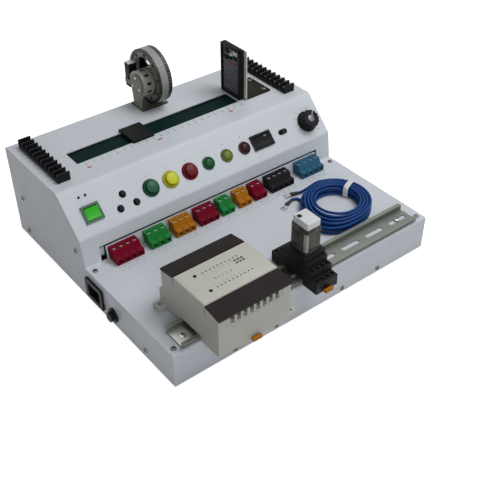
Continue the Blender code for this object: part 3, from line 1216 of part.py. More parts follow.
def mains_side(panel):
    """The mains inlet and the fuse holder, and their holes in the left side panel."""
    outer = -BODY_WIDTH / 2
    inlet_hole = prism("hole", rounded_box(INLET_WIDTH + 2 * GAP, INLET_HEIGHT + 2 * GAP, INLET_RIM), "X",
                       outer - OVERRUN, outer + OVERRUN)
    fuse_hole = placed(cylinder("hole", FUSE_NECK + SHEET + GAP, -OVERRUN, OVERRUN), AXIS_X)
    cut(panel, at(inlet_hole, 0, INLET_Y, INLET_Z), at(fuse_hole, outer, FUSE_Y, FUSE_Z))
    flange = rounded_box(INLET_WIDTH + 2 * INLET_RIM, INLET_HEIGHT + 2 * INLET_RIM, INLET_RIM)
    inlet = prism("power_inlet", flange, "X", outer - GAP - INLET_FLANGE, outer - GAP, "black")
    body = rounded_box(INLET_WIDTH, INLET_HEIGHT, INLET_RIM)
    join(inlet, prism("body", body, "X", outer - GAP - INLET_FLANGE / 2, outer + INLET_DEPTH))
    well = rounded_box(INLET_WIDTH - 2 * INLET_RIM, INLET_HEIGHT - 2 * INLET_RIM, INLET_RIM / 2)
    cut(inlet, prism("well", well, "X", outer - INLET_FLANGE - OVERRUN, outer + INLET_WELL))
    for i in (-1, 0, 1):
        y, z = i * INLET_PIN_PITCH, INLET_PIN_THICKNESS if i == 0 else -INLET_PIN_THICKNESS
        low = (outer + INLET_WELL - INLET_PIN_LENGTH, y - INLET_PIN_THICKNESS / 2, z - INLET_PIN_WIDTH / 2)
        high = (outer + INLET_WELL + INLET_PIN_THICKNESS, y + INLET_PIN_THICKNESS / 2, z + INLET_PIN_WIDTH / 2)
        join(inlet, block("pin", low, high))
    at(inlet, 0, INLET_Y, INLET_Z)

    holder = (
        (FUSE_CAP_RADIUS + GAP, -FUSE_FLANGE),
        (FUSE_RADIUS, -FUSE_FLANGE),
        (FUSE_RADIUS, 0),
        (FUSE_NECK + SHEET, 0),
        (FUSE_NECK + SHEET, FUSE_DEPTH),
        (0, FUSE_DEPTH),
        (0, FUSE_CAP_DEPTH + GAP),
        (FUSE_CAP_RADIUS + GAP, FUSE_CAP_DEPTH + GAP),
    )
    body = placed(turned("fuse_holder", holder, ROUND_SIDES, "black"), AXIS_X)
    at(body, outer - GAP, FUSE_Y, FUSE_Z)
    cap = cylinder("fuse_cap", FUSE_CAP_RADIUS, -FUSE_CAP_RISE, FUSE_CAP_DEPTH, ROUND_SIDES, "black")
    slot_low = (-FUSE_CAP_RADIUS - OVERRUN, -FUSE_SLOT / 2, -FUSE_CAP_RISE - OVERRUN)
    slot_high = (FUSE_CAP_RADIUS + OVERRUN, FUSE_SLOT / 2, -FUSE_CAP_RISE + FUSE_SLOT)
    cut(cap, block("slot", slot_low, slot_high))
    placed(cap, AXIS_X)
    hinged(at(cap, outer - GAP, FUSE_Y, FUSE_Z), (outer, FUSE_Y, FUSE_Z))


def supply_unit():
    """The 24-volt supply on the tray: a pierced case with a lower shelf for its terminals."""
    floor = FOOT_HEIGHT + 2 * SHEET + 2 * GAP
    low_y, high_y = SUPPLY_Y - SUPPLY_DEPTH / 2, SUPPLY_Y + SUPPLY_DEPTH / 2
    outline = (
        (low_y, floor),
        (high_y, floor),
        (high_y, floor + SUPPLY_HEIGHT),
        (low_y + SUPPLY_SHELF, floor + SUPPLY_HEIGHT),
        (low_y + SUPPLY_SHELF, floor + SUPPLY_SHELF_HEIGHT),
        (low_y, floor + SUPPLY_SHELF_HEIGHT),
    )
    left, right = SUPPLY_X - SUPPLY_WIDTH / 2, SUPPLY_X + SUPPLY_WIDTH / 2
    supply = prism("supply_unit", outline, "X", left, right, "steel")
    for i in range(SUPPLY_HOLES):
        for j in (0, 1, 2):
            x = SUPPLY_X + (i - (SUPPLY_HOLES - 1) / 2) * SUPPLY_HOLE_PITCH
            y = low_y + 2 * SUPPLY_SHELF + j * SUPPLY_HOLE_PITCH
            top = floor + SUPPLY_HEIGHT
            hole = cylinder("hole", SUPPLY_HOLE_RADIUS, top - SHEET, top + OVERRUN, SCREW_SIDES)
            cut(supply, at(hole, x, y, 0))


def tail(place, before, sweep, radius, low):
    """A free end that turns by an angle as it leaves the coil and comes to lie at a height, straight at its end."""
    heading = atan2(place[1] - before[1], place[0] - before[0])
    side = 1 if sweep > 0 else -1
    points = []
    for i in range(1, TAIL_POINTS + 1):
        share = i / TAIL_POINTS
        turned_by = radians(sweep) * share
        ahead = radius * sin(abs(turned_by))
        across = side * radius * (1 - cos(turned_by))
        x = place[0] + ahead * cos(heading) - across * sin(heading)
        y = place[1] + ahead * sin(heading) + across * cos(heading)
        points.append((x, y, place[2] + (low - place[2]) * share * share * (3 - 2 * share)))
    end = points[-1]
    out = heading + radians(sweep)
    points.append((end[0] + COIL_WIRE * cos(out), end[1] + COIL_WIRE * sin(out), low))
    return points


def coil_route():
    """One wire wound in and out again in layers, its turns fanned out to one side, climbing where it reverses."""
    wound = []
    base = DECK_Z + COIL_WIRE / 2 + GAP
    for i in range(round(COIL_END_TURNS * COIL_POINTS) + 1):
        turn = i / COIL_POINTS
        layer = min(int(turn // COIL_TURNS_PER_LAYER), COIL_LAYERS - 1)
        within = turn - layer * COIL_TURNS_PER_LAYER
        left_over = COIL_TURNS_PER_LAYER - within
        out = left_over if layer % 2 == 0 else within
        climb = 0
        if layer < COIL_LAYERS - 1 and left_over < COIL_CLIMB:
            climb = (1 - left_over / COIL_CLIMB) / 2
        if layer > 0 and within < COIL_CLIMB:
            climb = (within / COIL_CLIMB - 1) / 2
        angle = radians(COIL_START_ANGLE) + 2 * pi * turn
        fan = 1 + COIL_FAN * max(0, cos(angle - radians(COIL_FAN_ANGLE))) ** 4
        radius = COIL_INNER + COIL_PITCH * out * fan
        z = base + (layer + climb) * COIL_PITCH
        wound.append((COIL_X + radius * cos(angle), COIL_Y + radius * sin(angle), z))
    low = DECK_Z + LUG_SLEEVE_RADIUS + GAP
    start = tail(wound[0], wound[1], START_TAIL_SWEEP, START_TAIL_RADIUS, low)
    end = tail(wound[-1], wound[-2], END_TAIL_SWEEP, END_TAIL_RADIUS, low)
    return start[::-1] + wound + end


def wire(name, points, diameter, colour):
    """A round wire along its points, made a mesh with its ends filled."""
    curve = bpy.data.curves.new(name, "CURVE")
    curve.dimensions = "3D"
    curve.bevel_depth = diameter / 2
    curve.bevel_resolution = 1
    curve.render_resolution_u = 0
    curve.use_fill_caps = True
    spline = curve.splines.new("POLY")
    spline.points.add(len(points) - 1)
    for point, place in zip(spline.points, points):
        point.co = (*place, 1)
    made = bpy.data.objects.new(name, curve)
    curve.materials.append(material(colour))
    bpy.context.scene.collection.objects.link(made)
    return made


def least_gap(points, diameter):
    """The least clearance between parts of the wire that lie more than half a turn apart along it."""
    least = None
    apart = COIL_POINTS // 2
    for i, a in enumerate(points):
        for b in points[i + apart :]:
            distance = hypot(a[0] - b[0], a[1] - b[1], a[2] - b[2])
            least = distance if least is None else min(least, distance)
    return least - diameter


def lead_coil():
    """The coil of lead wire on the deck, and a fork lug in a sleeve at each of its two ends."""
    points = coil_route()
    wire("lead_coil", points, COIL_WIRE, "blue")
    print(f"lead coil: least gap to itself {least_gap(points, COIL_WIRE) / MM:.2f} mm")
    for name, end, inner in (("lead_lug_lower", points[0], points[1]), ("lead_lug_upper", points[-1], points[-2])):
        direction = (Vector(end) - Vector(inner)).normalized()
        direction.z = 0
        turn = atan2(direction.y, direction.x)
        sleeve = cylinder("sleeve", LUG_SLEEVE_RADIUS, 0, LUG_SLEEVE, SCREW_SIDES + 2)
        lug = placed(sleeve, AXIS_X)
        lug.name = name
        lug.data.materials.clear()
        lug.data.materials.append(material("black"))
        low = (LUG_SLEEVE - LUG_MOUTH, -LUG_WIDTH / 2, -LUG_THICKNESS / 2)
        tongue = block("tongue", low, (LUG_LENGTH, LUG_WIDTH / 2, LUG_THICKNESS / 2))
        hole_x = LUG_LENGTH - LUG_MOUTH
        cut(tongue, at(cylinder("hole", LUG_HOLE_RADIUS, -OVERRUN, OVERRUN, SCREW_SIDES * 2), hole_x, 0, 0))
        mouth_low = (hole_x, -LUG_HOLE_RADIUS / 2, -OVERRUN)
        cut(tongue, block("mouth", mouth_low, (LUG_LENGTH + OVERRUN, LUG_HOLE_RADIUS / 2, OVERRUN)))
        join(lug, tongue)
        start = Vector(end) + direction * GAP
        placed(lug, Matrix.Translation(start) @ Matrix.Rotation(turn, 4, "Z"))


def main():
    for found in list(bpy.data.objects):
        bpy.data.objects.remove(found)
    base_tray()
    mains_side(side_panel("left_side_panel", -1))
    side_panel("right_side_panel", 1)
    hood()
    deck_plate()
    control_board()
    push_buttons_and_lamps()
    rocker_switch("power", ROCKER_X, ROCKER_WIDTH, ROCKER_HEIGHT, ("green", "lit_green"))
    rocker_switch("selector", SELECTOR_X, SELECTOR_WIDTH, SELECTOR_HEIGHT, ("black", "black"))
    slide_switch_lever()
    speed_knob()
    belt_drive()
    carriage()
    barrier_strip("barrier_strip_left", STRIP_LEFT_X)
    barrier_strip("barrier_strip_right", STRIP_RIGHT_X)
    for name, x, poles, colour in TERMINALS:
        terminal_block(name, x, poles, colour)
    terminal_board()
    din_rail()
    controller()
    relay_on_socket()
    wheel_unit()
    upright_board()
    supply_unit()
    lead_coil()
    carry_all_from_one_origin()


def carry_all_from_one_origin():
    """Moves the whole trainer so that the origin lies under the middle of its bounds, without the leads."""
    left = -BODY_WIDTH / 2 - GAP - FUSE_CAP_RISE
    right = BODY_WIDTH / 2
    front = min(CONTROLLER_Y - CONTROLLER_HALF, SOCKET_FRONT) - LATCH_REACH
    back = max(BODY_DEPTH / 2, WHEEL_Y + WHEEL_RADIUS)
    origin = bpy.data.objects.new("trainer_origin", None)
    bpy.context.scene.collection.objects.link(origin)
    origin.location = (-(left + right) / 2, -(front + back) / 2, 0)
    for made in bpy.data.objects:
        if made.parent is None and made is not origin:
            made.parent = origin


main()
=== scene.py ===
"""Looks of the bench trainer for controllers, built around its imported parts. Metres, +Z up, front -Y."""

from math import atan2, cos, pi, radians, sin

import bmesh
import bpy
import numpy as np
from mathutils import Matrix, Vector


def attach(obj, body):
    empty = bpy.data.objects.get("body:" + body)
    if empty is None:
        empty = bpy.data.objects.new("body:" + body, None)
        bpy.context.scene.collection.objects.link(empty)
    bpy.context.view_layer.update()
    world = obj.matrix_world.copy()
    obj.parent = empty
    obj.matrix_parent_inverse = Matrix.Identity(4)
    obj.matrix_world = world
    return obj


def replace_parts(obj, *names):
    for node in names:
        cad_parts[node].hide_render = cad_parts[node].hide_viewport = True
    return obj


MM = 0.001
SHIFT = np.array([3.65, 10.45, 0.0]) * MM
DECK_Z, TOP_Z = 48.7 * MM, 126.5 * MM
BEND_Y, SLOPE_FOOT_Y, SLOPE_FOOT_Z = 48.2 * MM, 5.7 * MM, 85 * MM
SLOPE_ANGLE = atan2(TOP_Z - SLOPE_FOOT_Z, BEND_Y - SLOPE_FOOT_Y)
CONTROL_DOWN = 35 * MM
DECK, TOP = DECK_Z / MM, TOP_Z / MM
LIFT = 0.03 * MM
TO_RIGHT = Matrix.Rotation(pi / 2, 4, "Y")
TO_LEFT = Matrix.Rotation(-pi / 2, 4, "Y")
TO_FRONT = Matrix.Rotation(pi / 2, 4, "X")

CAMERA_PLACE = (-0.49485, -0.67105, 0.6712)
CAMERA_TURN, CAMERA_DOWN, CAMERA_ROLL = -38.9, 39.3, 0.3
CAMERA_LENS, CAMERA_SENSOR = 60.05, 36
LAMPS = (
    ("key", (0.6, -0.35, 1.45), 0.9, 14.8, (0.99, 0.995, 1.0)),
    ("fill", (-0.55, -1.25, 0.6), 0.9, 5.2, (0.95, 0.975, 1.0)),
    ("back", (0.3, 0.9, 1.4), 1.0, 1.2, (0.97, 0.985, 1.0)),
)
WORLD_LIGHT, FLOOR_GLOW, FLOOR_REACH = 0.16, 0.9, 6

# Places on the console, in millimetres from its middle
CONTROL_X, CONTROL_PITCH = -81, 28.2
KNOB_X = 165.2
RULER_X, RULER_STEP = -132, 5.25
BLOCKS = (
    (-158.2, 4), (-110.5, 3), (-74.3, 3), (-39.1, 3), (-5.6, 2), (21.3, 2), (46, 2), (73.2, 4), (125, 4),
)
POLE_PITCH, BLOCK_GAP = 9.2, 0.3
STRIP_X, STRIP_Y, STRIP_PITCH = (-169.7, 169.5), 69.55, 9.6
CONTROLLER_X, CONTROLLER_Y, CONTROLLER_TOP = -107.5, -156.5, 106.0
RELAY_X, RELAY_Y, RELAY_FLOOR = 1.4, -159.5, DECK + 34.3
WHEEL_Y, WHEEL_Z, MOTOR_Z = 154.6, 166.7, 159.7


class Value:
    """A number or colour that changes over a surface. Python's operators on it add Math nodes."""

    def __init__(self, finish, socket):
        self.finish = finish
        self.socket = socket

    def maths(self, operation, *others, clamp=False):
        settings = {"operation": operation, "use_clamp": clamp}
        return self.finish.node("ShaderNodeMath", settings, self, *others)

    def __add__(self, other):
        return self.maths("ADD", other)

    def __sub__(self, other):
        return self.maths("SUBTRACT", other)

    def __rsub__(self, other):
        return self.finish.node("ShaderNodeMath", {"operation": "SUBTRACT"}, other, self)

    def __mul__(self, other):
        return self.maths("MULTIPLY", other)

    def __truediv__(self, other):
        return self.maths("DIVIDE", other)

    def __pow__(self, other):
        return self.maths("POWER", other)

    __radd__ = __add__
    __rmul__ = __mul__

    def above(self, level, soft):
        """1 where the value is over a level, 0 below it, with a soft step between."""
        return ((self - (level - soft)) / (2 * soft)).maths("ADD", 0.0, clamp=True)


class Finish:
    """A material built from its shader outwards."""

    def __init__(self, name, colour, roughness, **constant):
        self.material = bpy.data.materials.new(name)
        self.material.use_nodes = True
        self.tree = self.material.node_tree
        self.shader = self.tree.nodes["Principled BSDF"]
        self.set("Base Color", (*colour, 1.0))
        self.set("Roughness", roughness)
        for key, value in constant.items():
            self.set(key.replace("_", " "), value)
        self.place = self.node("ShaderNodeTexCoord", {}, out="Object")
        split = self.node("ShaderNodeSeparateXYZ", {}, self.place).socket.node
        self.x, self.y, self.z = (Value(self, output) for output in split.outputs)

    def feed(self, socket, value):
        if isinstance(value, Value):
            self.tree.links.new(value.socket, socket)
        else:
            socket.default_value = value

    def set(self, name, value):
        self.feed(self.shader.inputs[name], value)
        return self

    def node(self, kind, settings, *inputs, out=0, **named):
        """Adds a node of a type, sets its settings, then feeds its sockets by order and by name."""
        made = self.tree.nodes.new(kind)
        for key, value in settings.items():
            setattr(made, key, value)
        for socket, value in zip(made.inputs, inputs):
            self.feed(socket, value)
        for key, value in named.items():
            self.feed(made.inputs[key.replace("_", " ")], value)
        return Value(self, made.outputs[out])

    def noise(self, scale, detail=2.0, roughness=0.5, stretch=(1, 1, 1)):
        """Soft noise from 0 to 1, stretched along an axis."""
        place = self.node("ShaderNodeMapping", {}, self.place, Scale=stretch)
        return self.node("ShaderNodeTexNoise", {}, place, Scale=scale, Detail=detail, Roughness=roughness)

    def cells(self, distance, scale):
        """The distance from the nearest of scattered points, measured along the axes."""
        kind = "ShaderNodeTexVoronoi"
        return self.node(kind, {"distance": distance}, self.place, out="Distance", Scale=scale)

    def mix(self, share, first, second):
        """One colour passing into another by a share."""
        made = self.tree.nodes.new("ShaderNodeMix")
        made.data_type = "RGBA"
        colours = [c if isinstance(c, Value) else (*c, 1.0) for c in (first, second)]
        for index, value in ((0, share), (6, colours[0]), (7, colours[1])):
            self.feed(made.inputs[index], value)
        return Value(self, made.outputs[2])

    def bump(self, height, distance, strength):
        raised = self.node("ShaderNodeBump", {}, Height=height, Distance=distance, Strength=strength)
        return self.set("Normal", raised)


def closed(part):
    """A part with the points of its seams and poles merged and its collapsed faces dropped."""
    points, faces = part
    kept, index = np.unique(np.round(points, 7), axis=0, return_inverse=True)
    index = index.reshape(-1)
    cleaned = []
    for face in faces:
        corners = list(dict.fromkeys(index[list(face)].tolist()))
        if len(corners) > 2:
            cleaned.append(corners)
    return kept, cleaned


def grid(points, wrap_u=False, wrap_v=False, caps=False):
    """Quads between the rows of points (u, v, xyz), closed round u or v, with the end rows filled."""
    m, n = points.shape[:2]
    index = np.arange(m * n).reshape(m, n)
    rows = np.vstack([index, index[:1]]) if wrap_u else index
    rows = np.hstack([rows, rows[:, :1]]) if wrap_v else rows
    quads = np.stack([rows[:-1, :-1], rows[:-1, 1:], rows[1:, 1:], rows[1:, :-1]], axis=-1).reshape(-1, 4)
    faces = quads.tolist()
    if caps:
        faces += [index[0, ::-1].tolist(), index[-1].tolist()]
    return points.reshape(-1, 3), faces


def spun(profile, sides=24, flutes=0, flute=0.0):
    """A profile of (radius, height) in millimetres turned about Z. The radius may dip in flutes."""
    profile = np.array(profile, float) * MM
    turn = np.linspace(0, 2 * pi, sides, endpoint=False)
    radius = profile[:, :1] - flute * np.abs(np.sin(flutes * turn / 2)) * (profile[:, :1] > 0)
    height = np.repeat(profile[:, 1:], sides, axis=1)
    points = np.stack([radius * np.cos(turn), radius * np.sin(turn), height], axis=-1)
    return grid(points, wrap_v=True)


def rounded(width, depth, radius, steps=4):
    """The outline of a rectangle about its middle, its corners quarter circles."""
    turn = np.linspace(0, pi / 2, steps + 1)
    outline = []
    for sx, sy, start in ((1, 1, 0), (-1, 1, pi / 2), (-1, -1, pi), (1, -1, 3 * pi / 2)):
        middle = np.array([sx * (width / 2 - radius), sy * (depth / 2 - radius)])
        outline.append(middle + radius * np.stack([np.cos(turn + start), np.sin(turn + start)], axis=-1))
    return np.vstack(outline)


def cushion_box(low, high, radius, edge):
    """A box with round upright corners and softened top and bottom edges: rounded outlines, stacked."""
    low, high = np.asarray(low, float), np.asarray(high, float)
    size, middle = high - low, (high + low) / 2
    turn = np.linspace(0, pi / 2, 4)
    rows = [(edge * (1 - sin(a)), edge * (1 - cos(a))) for a in turn]
    rows += [(inset, size[2] - lift) for inset, lift in rows[::-1]]
    rings = []
    for inset, lift in rows:
        outline = rounded(size[0] - 2 * inset, size[1] - 2 * inset, max(radius - inset, radius * 0.3))
        rings.append(np.column_stack([outline + middle[:2], np.full(len(outline), low[2] + lift)]))
    return grid(np.array(rings), wrap_v=True, caps=True)


def carried(outline, low, high):
    """A flat outline carried up Z from low to high."""
    rings = [np.column_stack([outline, np.full(len(outline), z)]) for z in (low, high)]
    return grid(np.array(rings), wrap_v=True, caps=True)


def tube(path, radius, sides):
    """A round tube on a path: a ring at each point, on a frame carried along without twist."""
    along = np.gradient(path, axis=0)
    along /= np.linalg.norm(along, axis=1, keepdims=True)
    side = np.cross(along[0], (0.0, 0.0, 1.0))
    side = side if np.linalg.norm(side) > 0.1 else np.cross(along[0], (0.0, 1.0, 0.0))
    sides_of = []
    for direction in along:
        side = side - direction * (side @ direction)
        side /= np.linalg.norm(side)
        sides_of.append(side)
    across = np.array(sides_of)
    over = np.cross(along, across)
    turn = np.linspace(0, 2 * pi, sides, endpoint=False)
    ring = np.cos(turn)[None, :, None] * across[:, None] + np.sin(turn)[None, :, None] * over[:, None]
    return grid(path[:, None] + radius * ring, wrap_v=True, caps=True)


def set_at(part, matrix):
    """A part turned and moved by a matrix."""
    points, faces = part
    matrix = np.array(matrix)
    return points @ matrix[:3, :3].T + matrix[:3, 3], faces


def moved(part, x, y, z):
    return part[0] + np.array([x, y, z]), part[1]


def several(part, matrices):
    """Copies of one part at many places, as one part."""
    points, faces = part
    copies = [set_at(part, matrix)[0] for matrix in matrices]
    shifted = [[corner + i * len(points) for corner in face] for i in range(len(copies)) for face in faces]
    return np.vstack(copies), shifted


def shift_matrix(x, y, z):
    return Matrix.Translation((x, y, z))


def body_place(x, y, z):
    """A place counted from the console's middle, in millimetres, as a matrix in the shared frame."""
    return Matrix.Translation(Vector((x, y, z)) * MM + Vector(SHIFT))


def slope_place(x, down=CONTROL_DOWN / MM):
    """A place on the slope, X along the console, Y up the slope, Z out of the panel. Millimetres."""
    y = BEND_Y / MM - down * cos(SLOPE_ANGLE)
    z = TOP_Z / MM - down * sin(SLOPE_ANGLE)
    return body_place(x, y, z) @ Matrix.Rotation(SLOPE_ANGLE, 4, "X")


def piece(name, parts, body="console", sharp=40):
    """One object of several (part, finish) pairs, riding on a body."""
    points, faces, indices, finishes = [], [], [], []
    count = 0
    for part, finish in parts:
        part_points, part_faces = closed(part)
        if finish not in finishes:
            finishes.append(finish)
        points.append(part_points)
        faces += [[corner + count for corner in face] for face in part_faces]
        indices += [finishes.index(finish)] * len(part_faces)
        count += len(part_points)
    mesh = bpy.data.meshes.new(name)
    mesh.from_pydata(np.vstack(points).tolist(), [], faces)
    for finish in finishes:
        mesh.materials.append(finish.material)
    mesh.polygons.foreach_set("material_index", indices)
    mesh.update()
    made = bpy.data.objects.new(name, mesh)
    bpy.context.scene.collection.objects.link(made)
    outwards(mesh)
    mesh.shade_smooth()
    mesh.set_sharp_from_angle(angle=radians(sharp))
    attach(made, body)
    return made


def outwards(mesh):
    work = bmesh.new()
    work.from_mesh(mesh)
    bmesh.ops.recalc_face_normals(work, faces=work.faces)
    work.to_mesh(mesh)
    work.free()


def numbers(name, words, finish):
    """Plain figures laid flat on the console: (text, matrix, height) each, joined in one piece."""
    points, faces, count = [], [], 0
    for text, matrix, size in words:
        curve = bpy.data.curves.new("figure", "FONT")
        curve.body = text
        curve.size = size
        curve.extrude = 0.03 * MM
        curve.align_x = "CENTER"
        curve.align_y = "CENTER"
        curve.resolution_u = 2
        holder = bpy.data.objects.new("figure", curve)
        bpy.context.scene.collection.objects.link(holder)
        graph = bpy.context.evaluated_depsgraph_get()
        made = bpy.data.meshes.new_from_object(holder.evaluated_get(graph))
        here = np.array([v.co for v in made.vertices])
        points.append(set_at((here, []), matrix)[0])
        faces += [[corner + count for corner in polygon.vertices] for polygon in made.polygons]
        count += len(here)
        bpy.data.objects.remove(holder)
        bpy.data.curves.remove(curve)
        bpy.data.meshes.remove(made)
    return piece(name, [((np.vstack(points), faces), finish)])


def seen_rays(tree):
    """1 for the rays that show the background: straight, off a gloss or through clear plastic."""
    path = tree.nodes.new("ShaderNodeLightPath")
    total = path.outputs["Is Camera Ray"]
    for kind in ("Is Glossy Ray", "Is Transmission Ray"):
        most = tree.nodes.new("ShaderNodeMath")
        most.operation = "MAXIMUM"
        tree.links.new(total, most.inputs[0])
        tree.links.new(path.outputs[kind], most.inputs[1])
        total = most.outputs[0]
    return total


def camera_and_light():
    """The photograph's viewpoint, a pale floor, three broad soft lamps and a plain pale world."""
    scene = bpy.context.scene
    scene.view_settings.view_transform = "Standard"
    lens = bpy.data.cameras.new("camera")
    lens.sensor_width = CAMERA_SENSOR
    lens.lens = CAMERA_LENS
    lens.clip_start = 0.05
    eye = bpy.data.objects.new("camera", lens)
    scene.collection.objects.link(eye)
    eye.matrix_world = (
        Matrix.Translation(CAMERA_PLACE)
        @ Matrix.Rotation(radians(CAMERA_TURN), 4, "Z")
        @ Matrix.Rotation(radians(90 - CAMERA_DOWN), 4, "X")
        @ Matrix.Rotation(radians(CAMERA_ROLL), 4, "Z")
    )
    scene.camera = eye

    for name, place, size, power, colour in LAMPS:
        lamp = bpy.data.lights.new(name, "AREA")
        lamp.size = size
        lamp.energy = power
        lamp.color = colour
        holder = bpy.data.objects.new(name, lamp)
        scene.collection.objects.link(holder)
        holder.location = place
        aim = Vector((0, 0, 0.05)) - Vector(place)
        holder.rotation_euler = aim.to_track_quat("-Z", "Y").to_euler()

    world = bpy.data.worlds.new("studio")
    scene.world = world
    world.use_nodes = True
    tree = world.node_tree
    back = tree.nodes["Background"]
    level = tree.nodes.new("ShaderNodeMapRange")
    level.inputs["To Min"].default_value = WORLD_LIGHT
    level.inputs["To Max"].default_value = 1.0
    tree.links.new(seen_rays(tree), level.inputs["Value"])
    tree.links.new(level.outputs[0], back.inputs["Strength"])
    back.inputs["Color"].default_value = (0.97, 0.985, 1.0, 1)

    mesh = bpy.data.meshes.new("floor")
    corners = [(x * FLOOR_REACH, y * FLOOR_REACH, 0) for x, y in ((-1, -1), (1, -1), (1, 1), (-1, 1))]
    mesh.from_pydata(corners, [], [(0, 1, 2, 3)])
    floor = bpy.data.objects.new("floor", mesh)
    scene.collection.objects.link(floor)
    paper = bpy.data.materials.new("paper_floor")
    paper.use_nodes = True
    nodes, links = paper.node_tree.nodes, paper.node_tree.links
    shader = nodes["Principled BSDF"]
    shader.inputs["Base Color"].default_value = (0.5, 0.503, 0.506, 1)
    shader.inputs["Roughness"].default_value = 0.9
    shader.inputs["Emission Color"].default_value = (1, 1, 1, 1)
    glow = nodes.new("ShaderNodeMath")
    glow.operation = "MULTIPLY"
    glow.inputs[1].default_value = FLOOR_GLOW
    links.new(seen_rays(paper.node_tree), glow.inputs[0])
    links.new(glow.outputs[0], shader.inputs["Emission Strength"])
    mesh.materials.append(paper)


def powder_coat():
    """Pale grey-blue powder coat: fine orange peel, slight cloudiness, scattered grime, and darker within
    about 17 mm of the table.
    """
    made = Finish("powder_coat", (0.62, 0.65, 0.69), 0.42, Specular_IOR_Level=0.2)
    cloud = made.noise(9, 3, 0.6)
    grime = made.noise(55, 4, 0.7).above(0.62, 0.12) * 0.35
    # darker the nearer the table, set by height alone, over the lowest 17 mm or so
    low = (1.0 - (made.z * 60).maths("ADD", 0.0, clamp=True)) * 0.4
    pale = made.mix(cloud, (0.56, 0.59, 0.635), (0.65, 0.68, 0.72))
    made.set("Base Color", made.mix(grime * 0.3 + low, pale, (0.4, 0.41, 0.41)))
    made.set("Roughness", made.noise(40, 3) * 0.16 + 0.3)
    return made.bump(made.noise(1400, 2, 0.4), 0.00006, 0.35)


def moulded(name, colour, dark, roughness, grain=1900, shine=0.5):
    """Moulded plastic: a fine spark grain, faint flow marks and handled places that shine."""
    made = Finish(name, colour, roughness, Specular_IOR_Level=shine)
    flow = made.noise(38, 3, 0.6, (1, 1, 0.35))
    made.set("Base Color", made.mix(flow, colour, dark))
    made.set("Roughness", made.noise(70, 2) * 0.2 + (roughness - 0.1))
    return made.bump(made.noise(grain, 3, 0.6), 0.00005, 0.5)


def plated(name, colour, roughness, scratch=(1, 40, 1), coarse=60):
    """Plated or mill metal: drawn lines along one way and a cloudy dullness."""
    made = Finish(name, colour, roughness, Metallic=1.0)
    lines = made.noise(coarse, 4, 0.7, scratch)
    dull = made.noise(26, 4, 0.6)
    deep = tuple(c * 0.72 for c in colour)
    made.set("Base Color", made.mix(dull, colour, deep))
    made.set("Roughness", lines * 0.22 + (roughness - 0.08))
    return made.bump(lines, 0.00003, 0.4)


def lens_plastic(name, colour, deep, glow=0.0):
    """Coloured lens plastic, bright where it faces out of the slope and deep on its flanks: painted shade
    that darkens the colour as the surface turns from the slope.
    """
    made = Finish(name, colour, 0.34, Coat_Weight=0.04, Coat_Roughness=0.15, Specular_IOR_Level=0.15)
    turned = made.node("ShaderNodeTexCoord", {}, out="Normal")
    outward = (0.0, -sin(SLOPE_ANGLE), cos(SLOPE_ANGLE))
    crown = made.node("ShaderNodeVectorMath", {"operation": "DOT_PRODUCT"}, turned, outward, out="Value")
    # painted shade: flanks turned away from the slope take the deep colour, and the glow's colour follows
    # the same painted shade
    edge = 1.0 - crown.maths("ADD", 0.0, clamp=True) ** 1.5
    made.set("Base Color", made.mix(edge, colour, deep))
    if glow:
        made.set("Emission Strength", glow)
        made.set("Emission Color", made.mix(edge, colour, deep))
    return made.bump(made.noise(500, 2), 0.00004, 0.25)


def woven_belt():
    """Dark green rubber belt with fine cross ribs."""
    made = Finish("belt_rubber", (0.003, 0.026, 0.02), 0.62, Specular_IOR_Level=0.04)
    ribs = (made.x * 2600.0).maths("SINE") * 0.5 + 0.5
    dust = made.noise(90, 4, 0.7)
    made.set("Base Color", made.mix(dust, (0.0015, 0.011, 0.009), (0.004, 0.02, 0.016)))
    made.set("Roughness", dust * 0.2 + 0.5)
    return made.bump(ribs, 0.0002, 0.6)


def board_finish(name, colour, trace):
    """Circuit board: solder mask with a lighter net of tracks and small pads."""
    made = Finish(name, colour, 0.35)
    cells = made.cells("MANHATTAN", 320.0)
    tracks = cells.above(0.34, 0.05)
    made.set("Base Color", made.mix(tracks, colour, trace))
    return made.bump(tracks, 0.00008, 0.5)


def smoked_case():
    """Clear grey polycarbonate, faintly smoked, with moulded streaks in its gloss and a fine bump."""
    made = Finish("smoked_case", (0.36, 0.37, 0.33), 0.12, Transmission_Weight=0.86, IOR=1.18)
    streak = made.noise(60, 3, 0.6, (1, 1, 0.3))
    made.set("Roughness", streak * 0.16 + 0.06)
    return made.bump(made.noise(240, 2), 0.00006, 0.3)


def speckled_board():
    """A crowded circuit board in a black frame: grey pads and bright solder over a dark ground."""
    made = Finish("speckled_board", (0.03, 0.032, 0.034), 0.42)
    pads = made.cells("CHEBYCHEV", 520.0)
    bright = made.noise(420, 2, 0.6).above(0.62, 0.05)
    ground = made.mix(1.0 - pads.above(0.42, 0.06), (0.02, 0.022, 0.024), (0.07, 0.073, 0.078))
    made.set("Base Color", made.mix(bright * 0.5, ground, (0.3, 0.31, 0.32)))
    return made.bump(pads, 0.0001, 0.4)


def bracket_finish():
    """Pale olive paint on the wheel's post, dark on its foot plate, divided just over the plate."""
    made = Finish("bracket_paint", (0.25, 0.26, 0.2), 0.45, Specular_IOR_Level=0.2)
    post = made.z.above(TOP_Z + 2.3 * MM, 0.1 * MM)
    flow = made.noise(60, 3)
    pale = made.mix(flow, (0.25, 0.26, 0.2), (0.18, 0.19, 0.15))
    made.set("Base Color", made.mix(post, made.mix(flow, (0.02, 0.018, 0.018), (0.03, 0.028, 0.028)), pale))
    return made.bump(made.noise(1200, 3), 0.00005, 0.5)


